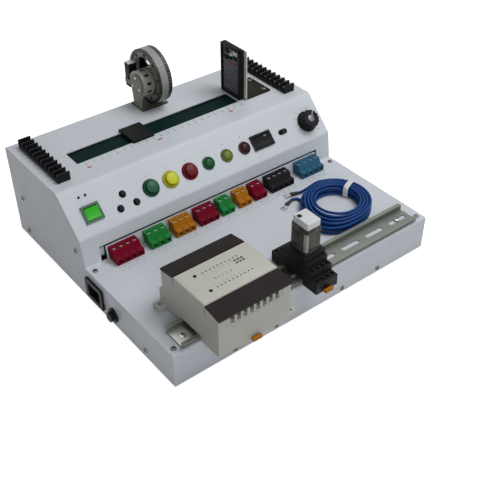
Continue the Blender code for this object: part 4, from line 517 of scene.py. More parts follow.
def wheel_finish():
    """Black at the wheel's two rims and a rubbed grey band between them."""
    made = Finish("wheel_rims", (0.01, 0.01, 0.01), 0.45, Specular_IOR_Level=0.3)
    left, right = (made.x.above(SHIFT[0] + edge * MM, 0.2 * MM) for edge in (4.6, 14.5))
    band = left * (1.0 - right)
    worn = made.noise(70, 4, 0.7)
    grey = made.mix(worn, (0.2, 0.205, 0.185), (0.34, 0.345, 0.32))
    made.set("Base Color", made.mix(band, (0.008, 0.008, 0.008), grey))
    return made.bump(worn, 0.0001, 0.3)


def insulation(name, colour, dark):
    """Soft vinyl insulation with a dull bloom."""
    made = Finish(name, colour, 0.36, Coat_Weight=0.02, Coat_Roughness=0.3, Specular_IOR_Level=0.15)
    bloom = made.noise(110, 3, 0.6)
    made.set("Base Color", made.mix(bloom, colour, dark))
    made.set("Roughness", bloom * 0.22 + 0.26)
    return made.bump(made.noise(900, 2), 0.00004, 0.3)


COIL = {
    "x": 116.0, "y": -92.0, "inner": 28.0, "wire": 3.5, "pitch": 3.9,
    "per_layer": 4, "layers": 4, "points": 20,
}
COIL_CLIMB = 0.25
COIL_START_ANGLE = 130
COIL_END_TURNS = 15.85
COIL_FAN = 0.9
COIL_FAN_ANGLE = 210
COIL_GAP = 0.3
SLEEVE_RADIUS = 2.6
SLEEVE = ((0, 0), (1.95, 0), (2.1, 0.5), (2.15, 4), (2.5, 5.2), (2.55, 9.2), (2.3, 9.9), (0, 10))


def coil_tail(place, before, sweep, radius, low):
    """A free end of the lead: a gentle turn away from the coil, down to a height, then straight."""
    heading = atan2(place[1] - before[1], place[0] - before[0])
    side = 1 if sweep > 0 else -1
    points = []
    for i in range(1, 9):
        share = i / 8
        angle = radians(sweep) * share
        ahead, across = radius * sin(abs(angle)), side * radius * (1 - cos(angle))
        x = place[0] + ahead * cos(heading) - across * sin(heading)
        y = place[1] + ahead * sin(heading) + across * cos(heading)
        points.append((x, y, place[2] + (low - place[2]) * share * share * (3 - 2 * share)))
    end, out = points[-1], heading + radians(sweep)
    points.append((end[0] + COIL["wire"] * cos(out), end[1] + COIL["wire"] * sin(out), low))
    return points


def coil_route():
    """The lead's points: wound in and out again in layers, climbing where it reverses, and two ends."""
    wound = []
    base = DECK_Z / MM + COIL["wire"] / 2 + COIL_GAP
    for i in range(round(COIL_END_TURNS * COIL["points"]) + 1):
        turn = i / COIL["points"]
        layer = min(int(turn // COIL["per_layer"]), COIL["layers"] - 1)
        within = turn - layer * COIL["per_layer"]
        left_over = COIL["per_layer"] - within
        out = left_over if layer % 2 == 0 else within
        climb = 0
        if layer < COIL["layers"] - 1 and left_over < COIL_CLIMB:
            climb = (1 - left_over / COIL_CLIMB) / 2
        if layer > 0 and within < COIL_CLIMB:
            climb = (within / COIL_CLIMB - 1) / 2
        angle = radians(COIL_START_ANGLE) + 2 * pi * turn
        fan = 1 + COIL_FAN * max(0, cos(angle - radians(COIL_FAN_ANGLE))) ** 4
        radius = COIL["inner"] + COIL["pitch"] * out * fan
        z = base + (layer + climb) * COIL["pitch"]
        wound.append((COIL["x"] + radius * cos(angle), COIL["y"] + radius * sin(angle), z))
    low = DECK_Z / MM + SLEEVE_RADIUS + COIL_GAP
    start = coil_tail(wound[0], wound[1], 150, 7, low)
    end = coil_tail(wound[-1], wound[-2], 8, 200, low)
    return np.array(start[::-1] + wound + end) * MM + SHIFT


def smoothed(points, steps=3):
    """A Catmull-Rom curve through points, worked out for all spans at once."""
    padded = np.vstack([2 * points[:1] - points[1:2], points, 2 * points[-1:] - points[-2:-1]])
    a, b, c, d = padded[:-3], padded[1:-2], padded[2:-1], padded[3:]
    t = np.linspace(0, 1, steps, endpoint=False)[None, :, None]
    a, b, c, d = (q[:, None] for q in (a, b, c, d))
    square, cube = 2 * a - 5 * b + 4 * c - d, 3 * b - a - 3 * c + d
    spans = 0.5 * (2 * b + (c - a) * t + square * t**2 + cube * t**3)
    return np.vstack([spans.reshape(-1, 3), points[-1:]])


def lead_coil(vinyl, rubber, tin, tie):
    """The coiled blue lead, a sleeved fork lug at each end, and the pale tie round its right side."""
    path = smoothed(coil_route())
    wound = tube(path, COIL["wire"] / 2 * MM, 10)
    coil = piece("lead_coil_wound", [(wound, vinyl)], "console", 80)
    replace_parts(coil, "lead_coil")
    for name, end, inner in (("lower", path[0], path[1]), ("upper", path[-1], path[-2])):
        heading = atan2(*(end - inner)[1::-1])
        place = Matrix.Translation(Vector(end)) @ Matrix.Rotation(heading, 4, "Z")
        outward = place @ shift_matrix(0.3 * MM, 0, 0)
        turned = set_at(spun(SLEEVE, 20), outward @ TO_RIGHT)
        arc = np.linspace(radians(60), radians(120), 7)
        mouth = np.column_stack([13.6 + 2.0 * np.cos(arc + pi / 2), 1.7 * np.sin(arc + pi / 2)])
        tip = np.array([(17.0, -1.2), (17.3, -2.6), (16.6, -3.2), (12.0, -3.2), (10.0, -2.6), (7.6, -1.9)])
        fork = np.vstack([mouth, tip, tip[::-1] * [1, -1]]) * MM
        tongue = set_at(carried(fork, -0.55 * MM, 0.55 * MM), outward)
        lug = piece(f"lead_fork_{name}", [(turned, rubber), (tongue, tin)], "console")
        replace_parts(lug, f"lead_lug_{name}")
    angle = radians(22)
    turn = np.linspace(0, 2 * pi, 28, endpoint=False)
    bow = [np.sign(f(turn)) * np.abs(f(turn)) ** 0.5 for f in (np.cos, np.sin)]
    middle = COIL["inner"] + COIL["pitch"] * COIL["per_layer"] / 2
    high = COIL["wire"] + (COIL["layers"] - 1) * COIL["pitch"]
    rows = []
    for side, grow in ((-3.4, 0.6), (-3.0, 0.85), (3.0, 0.85), (3.4, 0.6), (3.4, 0.4), (-3.4, 0.4)):
        r = middle + (COIL["pitch"] * COIL["per_layer"] / 2 + COIL["wire"] / 2 + grow) * bow[0]
        z = DECK_Z / MM + COIL_GAP + high / 2 + (high / 2 + grow) * bow[1]
        x = COIL["x"] + r * cos(angle) - side * sin(angle)
        y = COIL["y"] + r * sin(angle) + side * cos(angle)
        rows.append(np.column_stack([x, y, np.maximum(z, DECK_Z / MM + 0.02 + grow * 0.1)]))
    band = grid(np.array(rows) * MM + SHIFT, wrap_u=True, wrap_v=True)
    tied = piece("lead_tie", [(band, tie)], "console")


def body_box(low, high, radius=0.5, edge=0.25):
    """A softened box between two corners, counted from the console's middle in millimetres."""
    return moved(soft_box(low, high, radius, edge), *SHIFT)


def soft_box(low, high, radius=0.5, edge=0.25):
    """A softened box between two corners in millimetres, its rounding kept to what its size allows."""
    low, high = np.array(low, float) * MM, np.array(high, float) * MM
    size = high - low
    return cushion_box(low, high, min(radius * MM, size[:2].min() * 0.45), min(edge * MM, size.min() * 0.3))


def ring(profile, sides=32):
    """A ring turned about Z from a closed profile of (radius, height) in millimetres."""
    return spun([*profile, profile[0]], sides)


def frame_ring(outer, inner, low, high, edge):
    """A flat frame between two outlines with as many points each, its upper rims chamfered. Metres."""
    levels = [(outer, low), (outer, high - edge), (outer * (1 - edge / np.abs(outer).max()), high),
              (inner * (1 + edge / np.abs(inner).max()), high), (inner, high - edge), (inner, low)]
    rings = [np.column_stack([outline, np.full(len(outline), z)]) for outline, z in levels]
    return grid(np.array(rings), wrap_u=True, wrap_v=True)


def screws(name, places, radius, height, metal, cross=True):
    """Domed screw heads with a cross or a slot, one at each matrix, whose Z points out of the surface."""
    dome = ((0, -0.4), (1, -0.4), (1, 0.3), (0.93, 0.62), (0.7, 0.86), (0.35, 0.97), (0, 1))
    head = spun(np.array(dome) * (radius, height), 16)
    reach, half = radius * 0.62, radius * 0.12
    bars = [soft_box((-reach, -half, height * 0.5), (reach, half, height * 1.03), 0.05, 0.03)]
    if cross:
        bars.append(soft_box((-half, -reach, height * 0.5), (half, reach, height * 1.03), 0.05, 0.03))
    parts = [(several(head, places), metal)] + [(several(bar, places), deep_black) for bar in bars]
    return piece(name, parts, "console")


BEZEL_COLOURS = (
    (0.012, 0.075, 0.035), (0.5, 0.47, 0.03), (0.17, 0.006, 0.014),
    (0.008, 0.09, 0.03), (0.15, 0.17, 0.03), (0.06, 0.004, 0.006),
)
BUTTON_BEZEL, LAMP_BEZEL = (7.6, 1.1), (6, 0.3)
BUTTONS = 3


def dial_spot(angle, radius, lift=0):
    """A place round the dial, by angle and radius in millimetres."""
    x, y = radius * MM * cos(angle), radius * MM * sin(angle)
    return slope_place(KNOB_X) @ shift_matrix(x, y, lift)


def slope_details():
    """What the slope carries beside its moving parts: bezels, marks, dial and switch plate."""
    marks = []
    for i, colour in enumerate(BEZEL_COLOURS):
        dull = tuple(c * 0.7 for c in colour)
        lens = moulded(f"bezel_colour_{i + 1}", colour, dull, 0.4, shine=0.12)
        r, wide = BUTTON_BEZEL if i < BUTTONS else LAMP_BEZEL
        x = CONTROL_X + CONTROL_PITCH * i
        inner = [(r + 0.15, 0.1), (r + 0.15, 2.3), (r + 0.7, 2.75), (r + 1.5, 2.6)]
        collar = ring([*inner, (r + 2.2 + wide, 0.9), (r + 2.3 + wide, 0.05)])
        piece(f"bezel_{i + 1}", [(set_at(collar, slope_place(x)), lens)])
        marks.append((str(i + 1), slope_place(x, 19.5) @ shift_matrix(0, 0, LIFT), 3.4 * MM))
    ticks = []
    for i in range(11):
        angle = radians(230 - 28 * i)
        ticks.append(dial_spot(angle, 15.9) @ Matrix.Rotation(angle, 4, "Z"))
        marks.append((str(i), dial_spot(angle, 19, LIFT), 2.7 * MM))
    numbers("slope_numbers", marks, ink)
    tick = several(soft_box((-1.1, -0.18, -0.02), (1.1, 0.18, 0.06), 0.05, 0.02), ticks)
    piece("dial_ticks", [(tick, ink)])

    outer = rounded(13.6 * MM, 6.8 * MM, 3.3 * MM, 6)
    slot = rounded(8.6 * MM, 3.8 * MM, 1.2 * MM, 6)
    plate = set_at(frame_ring(outer, slot, 0.05 * MM, 1.1 * MM, 0.3 * MM), slope_place(123.5))
    piece("slide_switch_plate", [(plate, deep_black)])

    dome = spun([(0, 0.1), (1.5, 0.1), (1.5, 0.5), (1.1, 0.8), (1.05, 1.5), (0.7, 2), (0, 2.2)], 16)
    lamps = several(dome, [slope_place(x, 13) for x in (-167.5, -159)])
    piece("status_lamps", [(lamps, deep_black)])
    # A pale bar on the rocker's raised end: painted highlight standing in for the rocker's glint.
    tilt = Matrix.Rotation(radians(6), 4, "X")
    reed = tilt @ shift_matrix(0, 4.9 * MM, 2.82 * MM) @ Matrix.Rotation(radians(13), 4, "X")
    bar = set_at(soft_box((3.4, -0.8, 0), (7.6, 0.8, 0.12), 0.3, 0.04), slope_place(88.5) @ reed)
    piece("selector_painted_glint", [(bar, faint_ink)], "selector_rocker")
    collar = ring([(3.35, 0.05), (3.35, 0.5), (3.7, 0.7), (4.3, 0.55), (4.6, 0.05)], 24)
    spots = [slope_place(x, down) for x, down in ((-117.3, 28.5), (-127.2, 43.4), (-105.3, 43.4))]
    piece("small_button_rings", [(several(collar, spots), deep_black)])


def knob():
    """The speed knob: a skirt, a fluted grip with a dished face, and a pale pointer."""
    place = slope_place(KNOB_X) @ Matrix.Rotation(radians(-38), 4, "Z")
    skirt = ring([(3.4, 0.3), (13.9, 0.3), (14.2, 0.6), (14, 1.5), (12.4, 2.6), (3.4, 2.6)], 48)
    wall = [(4.6, 2), (12.9, 2), (12.6, 12.4), (12.2, 13.2), (11.4, 13.7)]
    grip = spun([*wall, (10.6, 13.5), (10.2, 13), (0, 13)], 112, 14, 0.0011)
    pointer = soft_box((-0.9, 2, 12.9), (0.9, 11.6, 13.85), 0.5, 0.2)
    cap = spun([(0, 12.9), (4.6, 12.9), (4.5, 13.3), (3.6, 13.5), (0, 13.55)])
    shapes = ((skirt, deep_black), (grip, black_plastic), (pointer, faint_ink), (cap, dark_steel))
    parts = [(set_at(part, place), finish) for part, finish in shapes]
    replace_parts(piece("knob_grip", parts, "speed_knob"), "speed_knob")


def ruler():
    """The scale before the belt: ticks, plain numbers and three red position marks."""
    places = [body_place(RULER_X + RULER_STEP * i, 84.9 if i % 2 else 84.2, TOP) for i in range(45)]
    long = several(soft_box((-0.22, -1.6, -0.02), (0.22, 1.6, 0.06), 0.05, 0.02), places[::2])
    short = several(soft_box((-0.18, -0.9, -0.02), (0.18, 0.9, 0.06), 0.05, 0.02), places[1::2])
    red = several(soft_box((-3.1, -1.2, -0.02), (3.1, 1.2, 0.07), 0.3, 0.02),
                  [body_place(x, 73.2, TOP) for x in (RULER_X, -32.6, 77.6)])
    piece("ruler_ticks", [(long, ink), (short, ink), (red, red_ink)])
    spots = [body_place(RULER_X + 2 * RULER_STEP * i, 79.2, TOP + 0.03) for i in range(23)]
    words = [(str(i), spot, 4 * MM) for i, spot in enumerate(spots)]
    numbers("ruler_numbers", words, ink)


def terminals():
    """Clamp screws, cages and pole seams of the blocks, and plain pole numbers on the deck before them."""
    heads, cages, seams, words = [], [], [], []
    for left, poles in BLOCKS:
        pitch = (poles * POLE_PITCH - BLOCK_GAP) / poles
        for i in range(poles):
            x = left + (i + 0.5) * pitch
            heads.append(body_place(x, -4.6, DECK + 14))
            cages.append(body_place(x, -15.4, DECK + 4.5))
            words.append((str(len(heads)), body_place(x, -24.5, DECK + 0.03), 3.4 * MM))
            if i:
                seams.append(body_place(left + i * pitch, 0, DECK))
    screws("terminal_screws", heads, 2.3, 0.9, nickel, cross=False)
    cage = several(soft_box((-2.4, -0.6, -2), (2.4, 0.2, 2), 0.2, 0.2), cages)
    # A black patch on the face of each cage: painted shade for the dark inside of its wire entry.
    mouth = several(soft_box((-1.7, -0.75, -1.2), (1.7, -0.5, 1.2), 0.1, 0.05), cages)
    piece("terminal_cages", [(cage, nickel), (mouth, deep_black)], "console")
    lines = (((-9.2, 15.1), (0.6, 15.4)), ((-18.7, 8.6), (-12.2, 8.95)), ((-18.95, 0.5), (-18.5, 8.6)))
    cuts = [several(soft_box((-0.3, *low), (0.3, *high), 0.1, 0.05), seams) for low, high in lines]
    piece("pole_seams", [(part, deep_black) for part in cuts])
    numbers("pole_numbers", words, faint_ink)
    rules = [body_box((-160, y - 0.15, DECK - 0.02), (164, y + 0.15, DECK + 0.05), 0.05, 0.02)
             for y in (-21.2, -28.2)]
    piece("deck_lines", [(line, faint_ink) for line in rules])


def strips():
    """Screw heads on the barrier strips."""
    places = []
    for x in STRIP_X:
        for i in range(10):
            turn = Matrix.Rotation(0.4 * i, 4, "Z")
            y = STRIP_Y + STRIP_PITCH * i
            places += [body_place(x + side * 3.6, y, TOP + 7.1) @ turn for side in (-1, 1)]
    screws("strip_screws", places, 2.9, 1.2, dark_steel)


def panel_screws():
    """The screws that hold the sheets, the rail, the wheel's bracket and the upright."""
    places = [body_place(x, y, DECK + 0.1) for x in (-183, 182) for y in (-9.5, -166)]
    places += [body_place(x, -175, 9) @ TO_FRONT for x in (-110, -51, 51, 110)]
    sides = ((18.8, 64), (150, 64), (150, 14), (-120, 14))
    places += [body_place(-190, y, z) @ TO_LEFT for y, z in sides]
    screws("panel_screws", places, 3.2, 1.6, dark_steel)
    # A paler zinc plate over the rail's left end: painted highlight, its light tone standing in for the
    # reflection there.
    pad = body_box((-175.6, -170.4, DECK + 1.3), (-157.4, -144.8, DECK + 2.1), 1, 0.2)
    piece("rail_end_glint", [(pad, zinc_glint)], "console")
    places = [body_place(156, -157.6, DECK + 1.4), body_place(-166, -157.6, DECK + 2.2)]
    screws("rail_screws", places, 3.4, 2, nickel)
    places = [body_place(x, y, TOP + 2.3) for x, y in ((22, 145.5), (22, 165.5), (146, 90), (146, 120))]
    screws("foot_screws", places, 3.4, 2, dark_steel)


def relay_looks():
    """The plug-in relay: a smoked clear case with a pale cap, and its coil, frame and contacts inside."""

    def part(low, high, radius=0.5, edge=0.3):
        """A box counted from the middle of the relay's foot."""
        foot = np.array([RELAY_X, RELAY_Y, RELAY_FLOOR])
        return body_box(foot + low, foot + high, radius, edge)

    shell = part((-10.4, -13.4, 0.2), (10.4, 13.4, 37), 1.4, 0.4)
    case = piece("relay_case", [(shell, clear_case)], "relay")
    cap = part((-9.5, -12.5, 37), (9.5, 12.5, 46), 1.5, 0.8)
    window = part((-8.4, 3, 45.9), (-3, 8.4, 46.05), 0.4, 0.03)
    lid = piece("relay_cap", [(cap, white_moulding), (window, deep_black)], "relay")
    inside = [
        (part((-7, -9.5, 8), (7, 1.5, 28), 4, 0.8), olive),
        (part((-8.8, -10.5, 29), (8.8, 9, 31), 0.8, 0.4), dark_steel),
        (part((-8.8, -11.5, 1), (8.8, 11.5, 7), 1, 0.4), olive),
        (part((-9.2, -12, 7), (-6.6, -7, 30)), white_moulding),
        (part((-8, 3, 7), (-3.4, 11, 29)), deep_black),
        (part((-1.5, 3.5, 7), (1.5, 11, 27)), brass),
        (part((3.4, 3, 7), (8, 11, 29)), deep_black),
    ]
    works = piece("relay_works", inside, "relay")
    for made in (case, lid, works):
        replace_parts(made, "relay")


def controller_details():
    """The controller's bare label plate, its lamps and numbers, its seams and the frame round its vents."""
    x, y, top = CONTROLLER_X, CONTROLLER_Y, CONTROLLER_TOP
    plate = body_box((x - 46.2, y - 26.4, top - 0.3), (x + 46.2, y + 26.4, top + 0.25), 0.8, 0.1)
    piece("controller_plate", [(plate, pale_plate)], "console")
    mark = soft_box((-1, -0.7, 0), (1, 0.7, 0.35), 0.3, 0.15)
    rows = [body_place(x - 20 + 5 * i, y + side * 13.5, top + 0.2) for side in (-1, 1) for i in range(10)]
    piece("controller_lamps", [(several(mark, rows), dark_glass)], "console")
    parts = []
    for v in (-14, 14):
        low, high = (x - 30.9, y + v - 1.9, top + 0.2), (x - 27.1, y + v + 1.9, top + 0.6)
        parts.append((body_box(low, high, 1.2, 0.15), deep_black))
    window = body_box((x + 16, y + 1.5, top + 0.15), (x + 30, y + 11.5, top + 0.45), 0.8, 0.1)
    parts.append((window, pale_plate))
    for i in range(3):
        for j in range(2):
            u, v = x + 17.5 + 4.3 * i, y + 3 + 4.2 * j
            lit = body_box((u, v, top + 0.4), (u + 3.1, v + 2.6, top + 0.6), 0.4, 0.1)
            parts.append((lit, dark_glass))
    piece("controller_window", parts, "console")
    words = []
    for i in range(20):
        spot = body_place(x - 20 + 5 * (i % 10), y + (9.8 if i > 9 else -9.8), top + 0.28)
        words.append((str(i % 10), spot, 2.6 * MM))
    words += [(str(i), body_place(x - 14 + 5 * i, y - 1.5, top + 0.28), 4.6 * MM) for i in range(5)]
    numbers("controller_numbers", words, ink)
    seams = []
    for v in (y - 28, y + 28):
        seam = body_box((x - 47.4, v - 0.25, 93), (x + 47.4, v + 0.25, top - 0.9), 0.1, 0.05)
        seams.append((seam, deep_black))
    piece("controller_seams", seams)
    outer, inner = rounded(74 * MM, 12.4 * MM, 2.5 * MM, 6), rounded(72.6 * MM, 11 * MM, 2 * MM, 6)
    label = frame_ring(outer, inner, 0, 0.5 * MM, 0.15 * MM)
    label = set_at(label, body_place(x - 0.6, y - 50, 93.2) @ TO_FRONT)
    piece("controller_front_frame", [(label, beige)], "console")
    for side, v in (("front", y - 46), ("back", y + 46)):
        grip = body_box((x - 8, v - 2, 102.15), (x + 8, v + 2, 102.6), 1.5, 0.2)
        piece(f"cover_grip_{side}", [(grip, deep_black)], f"controller_{side}_cover")


def around(place, count):
    """Places turned about X in even steps."""
    return [place @ Matrix.Rotation(2 * pi * i / count, 4, "X") for i in range(count)]


def wheel_details():
    """Pale rib lines round the wheel's rim as painted highlights, the motor's vents as painted shade and
    its screws, and the sensor's cap and eye.
    """
    # Pale grey rib lines on the black rim: painted highlights standing in for the rim's glints.
    rib = several(soft_box((4.2, -0.7, 35.4), (8.9, 0.7, 35.99), 0.2, 0.05),
                  around(body_place(11, WHEEL_Y, WHEEL_Z), 54))
    piece("wheel_rib_glints", [(rib, rib_glint_grey)], "wheel")
    middle = body_place(0, WHEEL_Y, WHEEL_Z)
    plate = set_at(ring([(25.4, 3.2), (31.9, 3.2), (31.9, 5), (25.4, 5)], 48), middle @ TO_RIGHT)
    dark = several(soft_box((2.9, -2, 27), (3.25, 2, 30.4), 0.15, 0.05), around(middle, 9))
    piece("wheel_ring", [(plate, ring_grey), (dark, deep_black)], "wheel")
    hub = set_at(ring([(2.9, 0), (7.5, 0), (7, 3), (4.5, 4), (2.9, 4)], 24),
                 body_place(14.2, WHEEL_Y, WHEEL_Z) @ TO_RIGHT)
    piece("wheel_hub", [(hub, black_plastic)], "wheel")
    # Black patches on the motor's can: painted shade for the dark inside of its vent slots.
    vent_shade = several(soft_box((-7, -1.6, 17.2), (-1, 1.6, 17.56), 0.8, 0.1),
                   around(body_place(1.6, WHEEL_Y, MOTOR_Z), 10))
    band = set_at(spun([(17.4, 0), (17.56, 0.3), (17.56, 1.4), (17.4, 1.7)], 32),
                  body_place(6, WHEEL_Y, MOTOR_Z) @ TO_RIGHT)
    piece("motor_vent_shade_and_band", [(vent_shade, deep_black), (band, dark_steel)], "console")
    spots = [body_place(-12.5, WHEEL_Y + 9 * cos(a), MOTOR_Z + 9 * sin(a)) @ TO_LEFT
             for a in (pi / 2, 7 * pi / 6, 11 * pi / 6)]
    screws("motor_screws", spots, 1.9, 1.1, nickel)
    top = body_box((-10, 172.8, 180), (1, 182.4, 180.9), 0.8, 0.3)
    eye = body_box((-10.75, 176, 172), (-10.1, 179.5, 176), 0.6, 0.2)
    piece("sensor_cap", [(top, white_moulding), (eye, lamp_red)])


def upright_looks():
    """The framed circuit board with its small parts, and the painted angle it is fixed to."""
    left, face, right, foot, top = 102.2, 104.2, 110.2, 127.8, 196.4
    rim = face + 0.4
    corners = (
        ((left, 87, foot), (rim, 90, top)), ((left, 124, foot), (rim, 127, top)),
        ((left, 87, foot), (rim, 127, foot + 3)), ((left, 87, top - 3), (rim, 127, top)),
        ((face + 1, 87, foot), (right, 127, top)),
    )
    parts = [(body_box(low, high, 0.6, 0.3), deep_black) for low, high in corners]

    def mounted(spots, rise, finish):
        """Small flat parts on the board: each from y to y and z to z."""
        for a, b, c, d in spots:
            parts.append((body_box((face - rise, a, c), (face + 0.2, b, d), 0.4, 0.2), finish))

    chips = ((112, 119, 185, 191), (95, 101, 180, 184), (104, 109, 178, 182), (113, 121, 176, 181))
    mounted(chips, 1.5, deep_black)
    ground = body_box((face, 89.5, foot + 2.5), (face + 1.2, 124.5, top - 2.5), 0.2, 0.1)
    legs = [body_place(face, 93.5 + 3.4 * i, foot + 8 + 4.6 * j) for i in range(9) for j in range(9)]
    pads = several(soft_box((-0.7, -0.8, -1.3), (0.3, 0.8, 1.3), 0.2, 0.15), legs)
    parts += [(ground, speckled), (pads, pad_grey)]
    mounted(((93, 101, 187, 192.5), (103, 107, 184, 188)), 1.7, white_moulding)
    board_face = piece("upright_board_face", parts)
    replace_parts(board_face, "upright_circuit_board")
    dome = spun([(0, -0.5), (1.6, -0.5), (1.6, 1), (1.1, 1.7), (0, 1.95)], 16)
    lamps = several(dome, [body_place(face, y, 173) @ TO_LEFT for y in (101, 108)])
    piece("upright_lamps", [(lamps, red_ink)], "console")
    web = body_box((110.5, 83, 126.85), (112.5, 128, 195.4), 0.6, 0.4)
    plate = body_box((110.5, 83, 126.85), (152.5, 128, 128.8), 1.2, 0.3)
    angle = piece("upright_angle", [(web, cream_paint), (plate, foot_olive)], "console")
    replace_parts(angle, "upright_plate")


def window_details():
    """A pale connector behind the left end of the window."""
    plug = body_box((-167, 6.5, 52), (-160.5, 11, 63), 0.5, 0.3)
    piece("window_plug", [(plug, white_moulding)], "console")


def dust_screens():
    """Dark sheets on the inside of the back wall, behind both groups of vents: painted shade standing in
    for the dark inside seen through them.
    """
    sheets = [body_box((x - 21, 172.6, 45), (x + 21, 173.4, 96), 0.3, 0.1) for x in (-110, 110)]
    piece("dust_screens", [(sheet, deep_black) for sheet in sheets])


def inlet_details():
    """Nickel blades in the mains inlet."""
    blades = []
    for y, z in ((-24, 22), (-17, 26), (-10, 22)):
        blade = body_box((-186.2, y - 1.1, z - 2.1), (-174.2, y + 1.1, z + 2.1), 0.4, 0.2)
        blades.append((blade, nickel))
    piece("inlet_blades", blades, "console")


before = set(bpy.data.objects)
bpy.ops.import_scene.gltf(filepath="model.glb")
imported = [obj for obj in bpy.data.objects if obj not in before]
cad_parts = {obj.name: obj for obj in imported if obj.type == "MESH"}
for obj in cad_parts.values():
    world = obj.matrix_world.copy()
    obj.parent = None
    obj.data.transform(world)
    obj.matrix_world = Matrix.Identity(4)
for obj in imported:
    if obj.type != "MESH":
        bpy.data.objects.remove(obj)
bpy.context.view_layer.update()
camera_and_light()

powder = powder_coat()
black_plastic = moulded("black_moulding", (0.006, 0.006, 0.007), (0.011, 0.011, 0.012), 0.5, shine=0.12)
deep_black = moulded("deep_black", (0.004, 0.004, 0.0045), (0.008, 0.008, 0.0085), 0.55, shine=0.1)
brown_black = moulded("brown_black", (0.009, 0.005, 0.005), (0.014, 0.009, 0.008), 0.55, shine=0.12)
beige = moulded("beige_moulding", (0.46, 0.455, 0.405), (0.4, 0.395, 0.35), 0.48)
red_plastic = moulded("red_moulding", (0.2, 0.004, 0.02), (0.15, 0.003, 0.014), 0.45, shine=0.08)
green_plastic = moulded("green_moulding", (0.02, 0.23, 0.05), (0.014, 0.17, 0.035), 0.45, shine=0.08)
orange_plastic = moulded("orange_moulding", (0.46, 0.17, 0.01), (0.36, 0.13, 0.008), 0.45, shine=0.08)
teal_plastic = moulded("teal_moulding", (0.035, 0.13, 0.22), (0.025, 0.1, 0.17), 0.45, shine=0.08)
switch_green = moulded("switch_green", (0.01, 0.085, 0.03), (0.008, 0.06, 0.022), 0.3)
lit_green = lens_plastic("lit_green", (0.035, 0.42, 0.02), (0.015, 0.2, 0.015), 0.06)
button_green = lens_plastic("button_green", (0.016, 0.095, 0.048), (0.008, 0.05, 0.026))
button_yellow = lens_plastic("button_yellow", (0.58, 0.6, 0.03), (0.42, 0.4, 0.02))
button_red = lens_plastic("button_red", (0.12, 0.004, 0.01), (0.06, 0.003, 0.006))
lamp_green = lens_plastic("lamp_green", (0.006, 0.075, 0.026), (0.003, 0.025, 0.01))
lamp_yellow = lens_plastic("lamp_yellow", (0.16, 0.2, 0.03), (0.08, 0.095, 0.02))
lamp_red = lens_plastic("lamp_red", (0.022, 0.002, 0.004), (0.01, 0.001, 0.002))
zinc = plated("zinc_rail", (0.21, 0.22, 0.195), 0.42, (1, 60, 1), 30)
steel = plated("turned_steel", (0.5, 0.51, 0.51), 0.3)
nickel = plated("nickel_screw", (0.62, 0.62, 0.6), 0.25, (1, 1, 1), 300)
tin = plated("tin_lug", (0.62, 0.62, 0.66), 0.28, (1, 1, 1), 200)
aluminium = plated("mill_aluminium", (0.55, 0.56, 0.57), 0.36)
rubber = moulded("black_rubber", (0.012, 0.012, 0.012), (0.022, 0.022, 0.022), 0.7)
belt_rubber = woven_belt()
board = board_finish("green_board", (0.01, 0.1, 0.045), (0.03, 0.2, 0.09))
cream_paint = moulded("cream_paint", (0.6, 0.59, 0.5), (0.55, 0.54, 0.46), 0.4, 1200)
blue_vinyl = insulation("blue_vinyl", (0.004, 0.055, 0.24), (0.002, 0.03, 0.14))
tie_paper = moulded("white_tie", (0.72, 0.72, 0.74), (0.62, 0.62, 0.66), 0.5)
clear_case = smoked_case()
ink = moulded("dark_ink", (0.035, 0.04, 0.06), (0.05, 0.055, 0.075), 0.6)
faint_ink = moulded("faint_ink", (0.2, 0.22, 0.25), (0.25, 0.27, 0.3), 0.6)
red_ink = moulded("red_ink", (0.5, 0.04, 0.03), (0.42, 0.03, 0.02), 0.5)
white_moulding = moulded("white_moulding", (0.7, 0.71, 0.72), (0.62, 0.63, 0.64), 0.4)
pale_plate = moulded("pale_plate", (0.55, 0.54, 0.465), (0.5, 0.49, 0.42), 0.5)
dark_glass = moulded("dark_glass", (0.02, 0.04, 0.03), (0.03, 0.05, 0.04), 0.25)
dark_board = board_finish("dark_board", (0.004, 0.018, 0.011), (0.008, 0.035, 0.02))
# a paler copy of the rail's zinc, used as a painted highlight
zinc_glint = plated("zinc_painted_glint", (0.62, 0.62, 0.6), 0.45, (1, 60, 1), 30)
motor_grey = moulded("motor_grey", (0.34, 0.35, 0.29), (0.25, 0.26, 0.21), 0.4)
dark_steel = plated("dark_steel", (0.16, 0.16, 0.165), 0.34, (1, 1, 1), 200)
brass = plated("brass_contact", (0.45, 0.36, 0.16), 0.35, (1, 1, 1), 200)
foot_olive = moulded("foot_olive", (0.009, 0.009, 0.006), (0.015, 0.015, 0.01), 0.5, shine=0.08)
pad_grey = moulded("pad_grey", (0.13, 0.13, 0.15), (0.22, 0.22, 0.24), 0.4, shine=0.2)
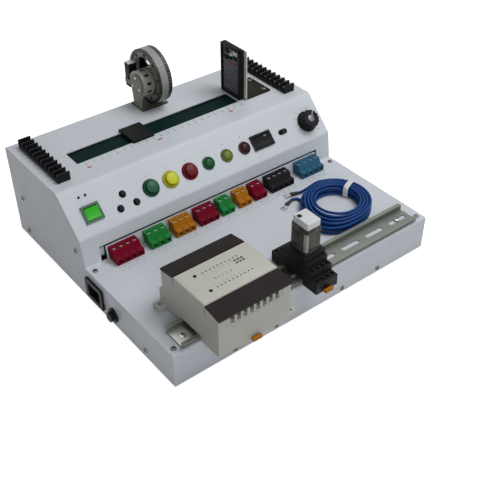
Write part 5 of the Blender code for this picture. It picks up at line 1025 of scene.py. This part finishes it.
olive = moulded("olive_moulding", (0.06, 0.062, 0.035), (0.045, 0.047, 0.027), 0.5)
ring_grey = moulded("ring_grey", (0.17, 0.175, 0.165), (0.11, 0.115, 0.11), 0.4)
# pale grey of the rib lines on the rim: a painted highlight
rib_glint_grey = moulded("rib_glint_grey", (0.07, 0.072, 0.078), (0.05, 0.05, 0.055), 0.35)
speckled = speckled_board()

DRESS = {
    powder: ("base_tray", "left_side_panel", "right_side_panel", "hood", "deck_plate"),
    board: ("control_board",),
    dark_board: ("terminal_board",),
    black_plastic: (
        "small_button_1", "small_button_2", "small_button_3", "selector_switch_frame",
        "selector_rocker", "barrier_strip_left", "barrier_strip_right", "black_terminal_block",
        "relay_socket", "wheel_sensor", "power_inlet", "fuse_holder", "fuse_cap",
    ),
    deep_black: ("slide_switch_lever", "carriage"),
    button_green: ("green_button",),
    button_yellow: ("yellow_button",),
    button_red: ("red_button",),
    lamp_green: ("green_lamp",),
    lamp_yellow: ("yellow_lamp",),
    lamp_red: ("red_lamp",),
    switch_green: ("power_switch_frame",),
    lit_green: ("power_rocker",),
    belt_rubber: ("belt",),
    steel: ("idler_roller", "drive_roller", "belt_motor"),
    motor_grey: ("wheel_motor",),
    wheel_finish(): ("wheel",),
    bracket_finish(): ("wheel_bracket",),
    aluminium: ("belt_frame", "supply_unit"),
    red_plastic: ("red_terminal_block_left", "red_terminal_block_middle", "red_terminal_block_right"),
    green_plastic: ("green_terminal_block_left", "green_terminal_block_right"),
    orange_plastic: (
        "orange_terminal_block_left", "orange_terminal_block_right",
        "controller_latch", "relay_socket_latch",
    ),
    teal_plastic: ("blue_terminal_block",),
    zinc: ("din_rail",),
    beige: ("controller_body",),
    brown_black: ("controller_front_cover", "controller_back_cover"),
    clear_case: ("relay",),
}
for finish, names in DRESS.items():
    for node_name in names:
        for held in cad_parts[node_name].material_slots:
            held.material = finish.material

slope_details()
ruler()
terminals()
strips()
panel_screws()
relay_looks()
controller_details()
wheel_details()
upright_looks()
knob()
window_details()
dust_screens()
inlet_details()
lead_coil(blue_vinyl, rubber, tin, tie_paper)
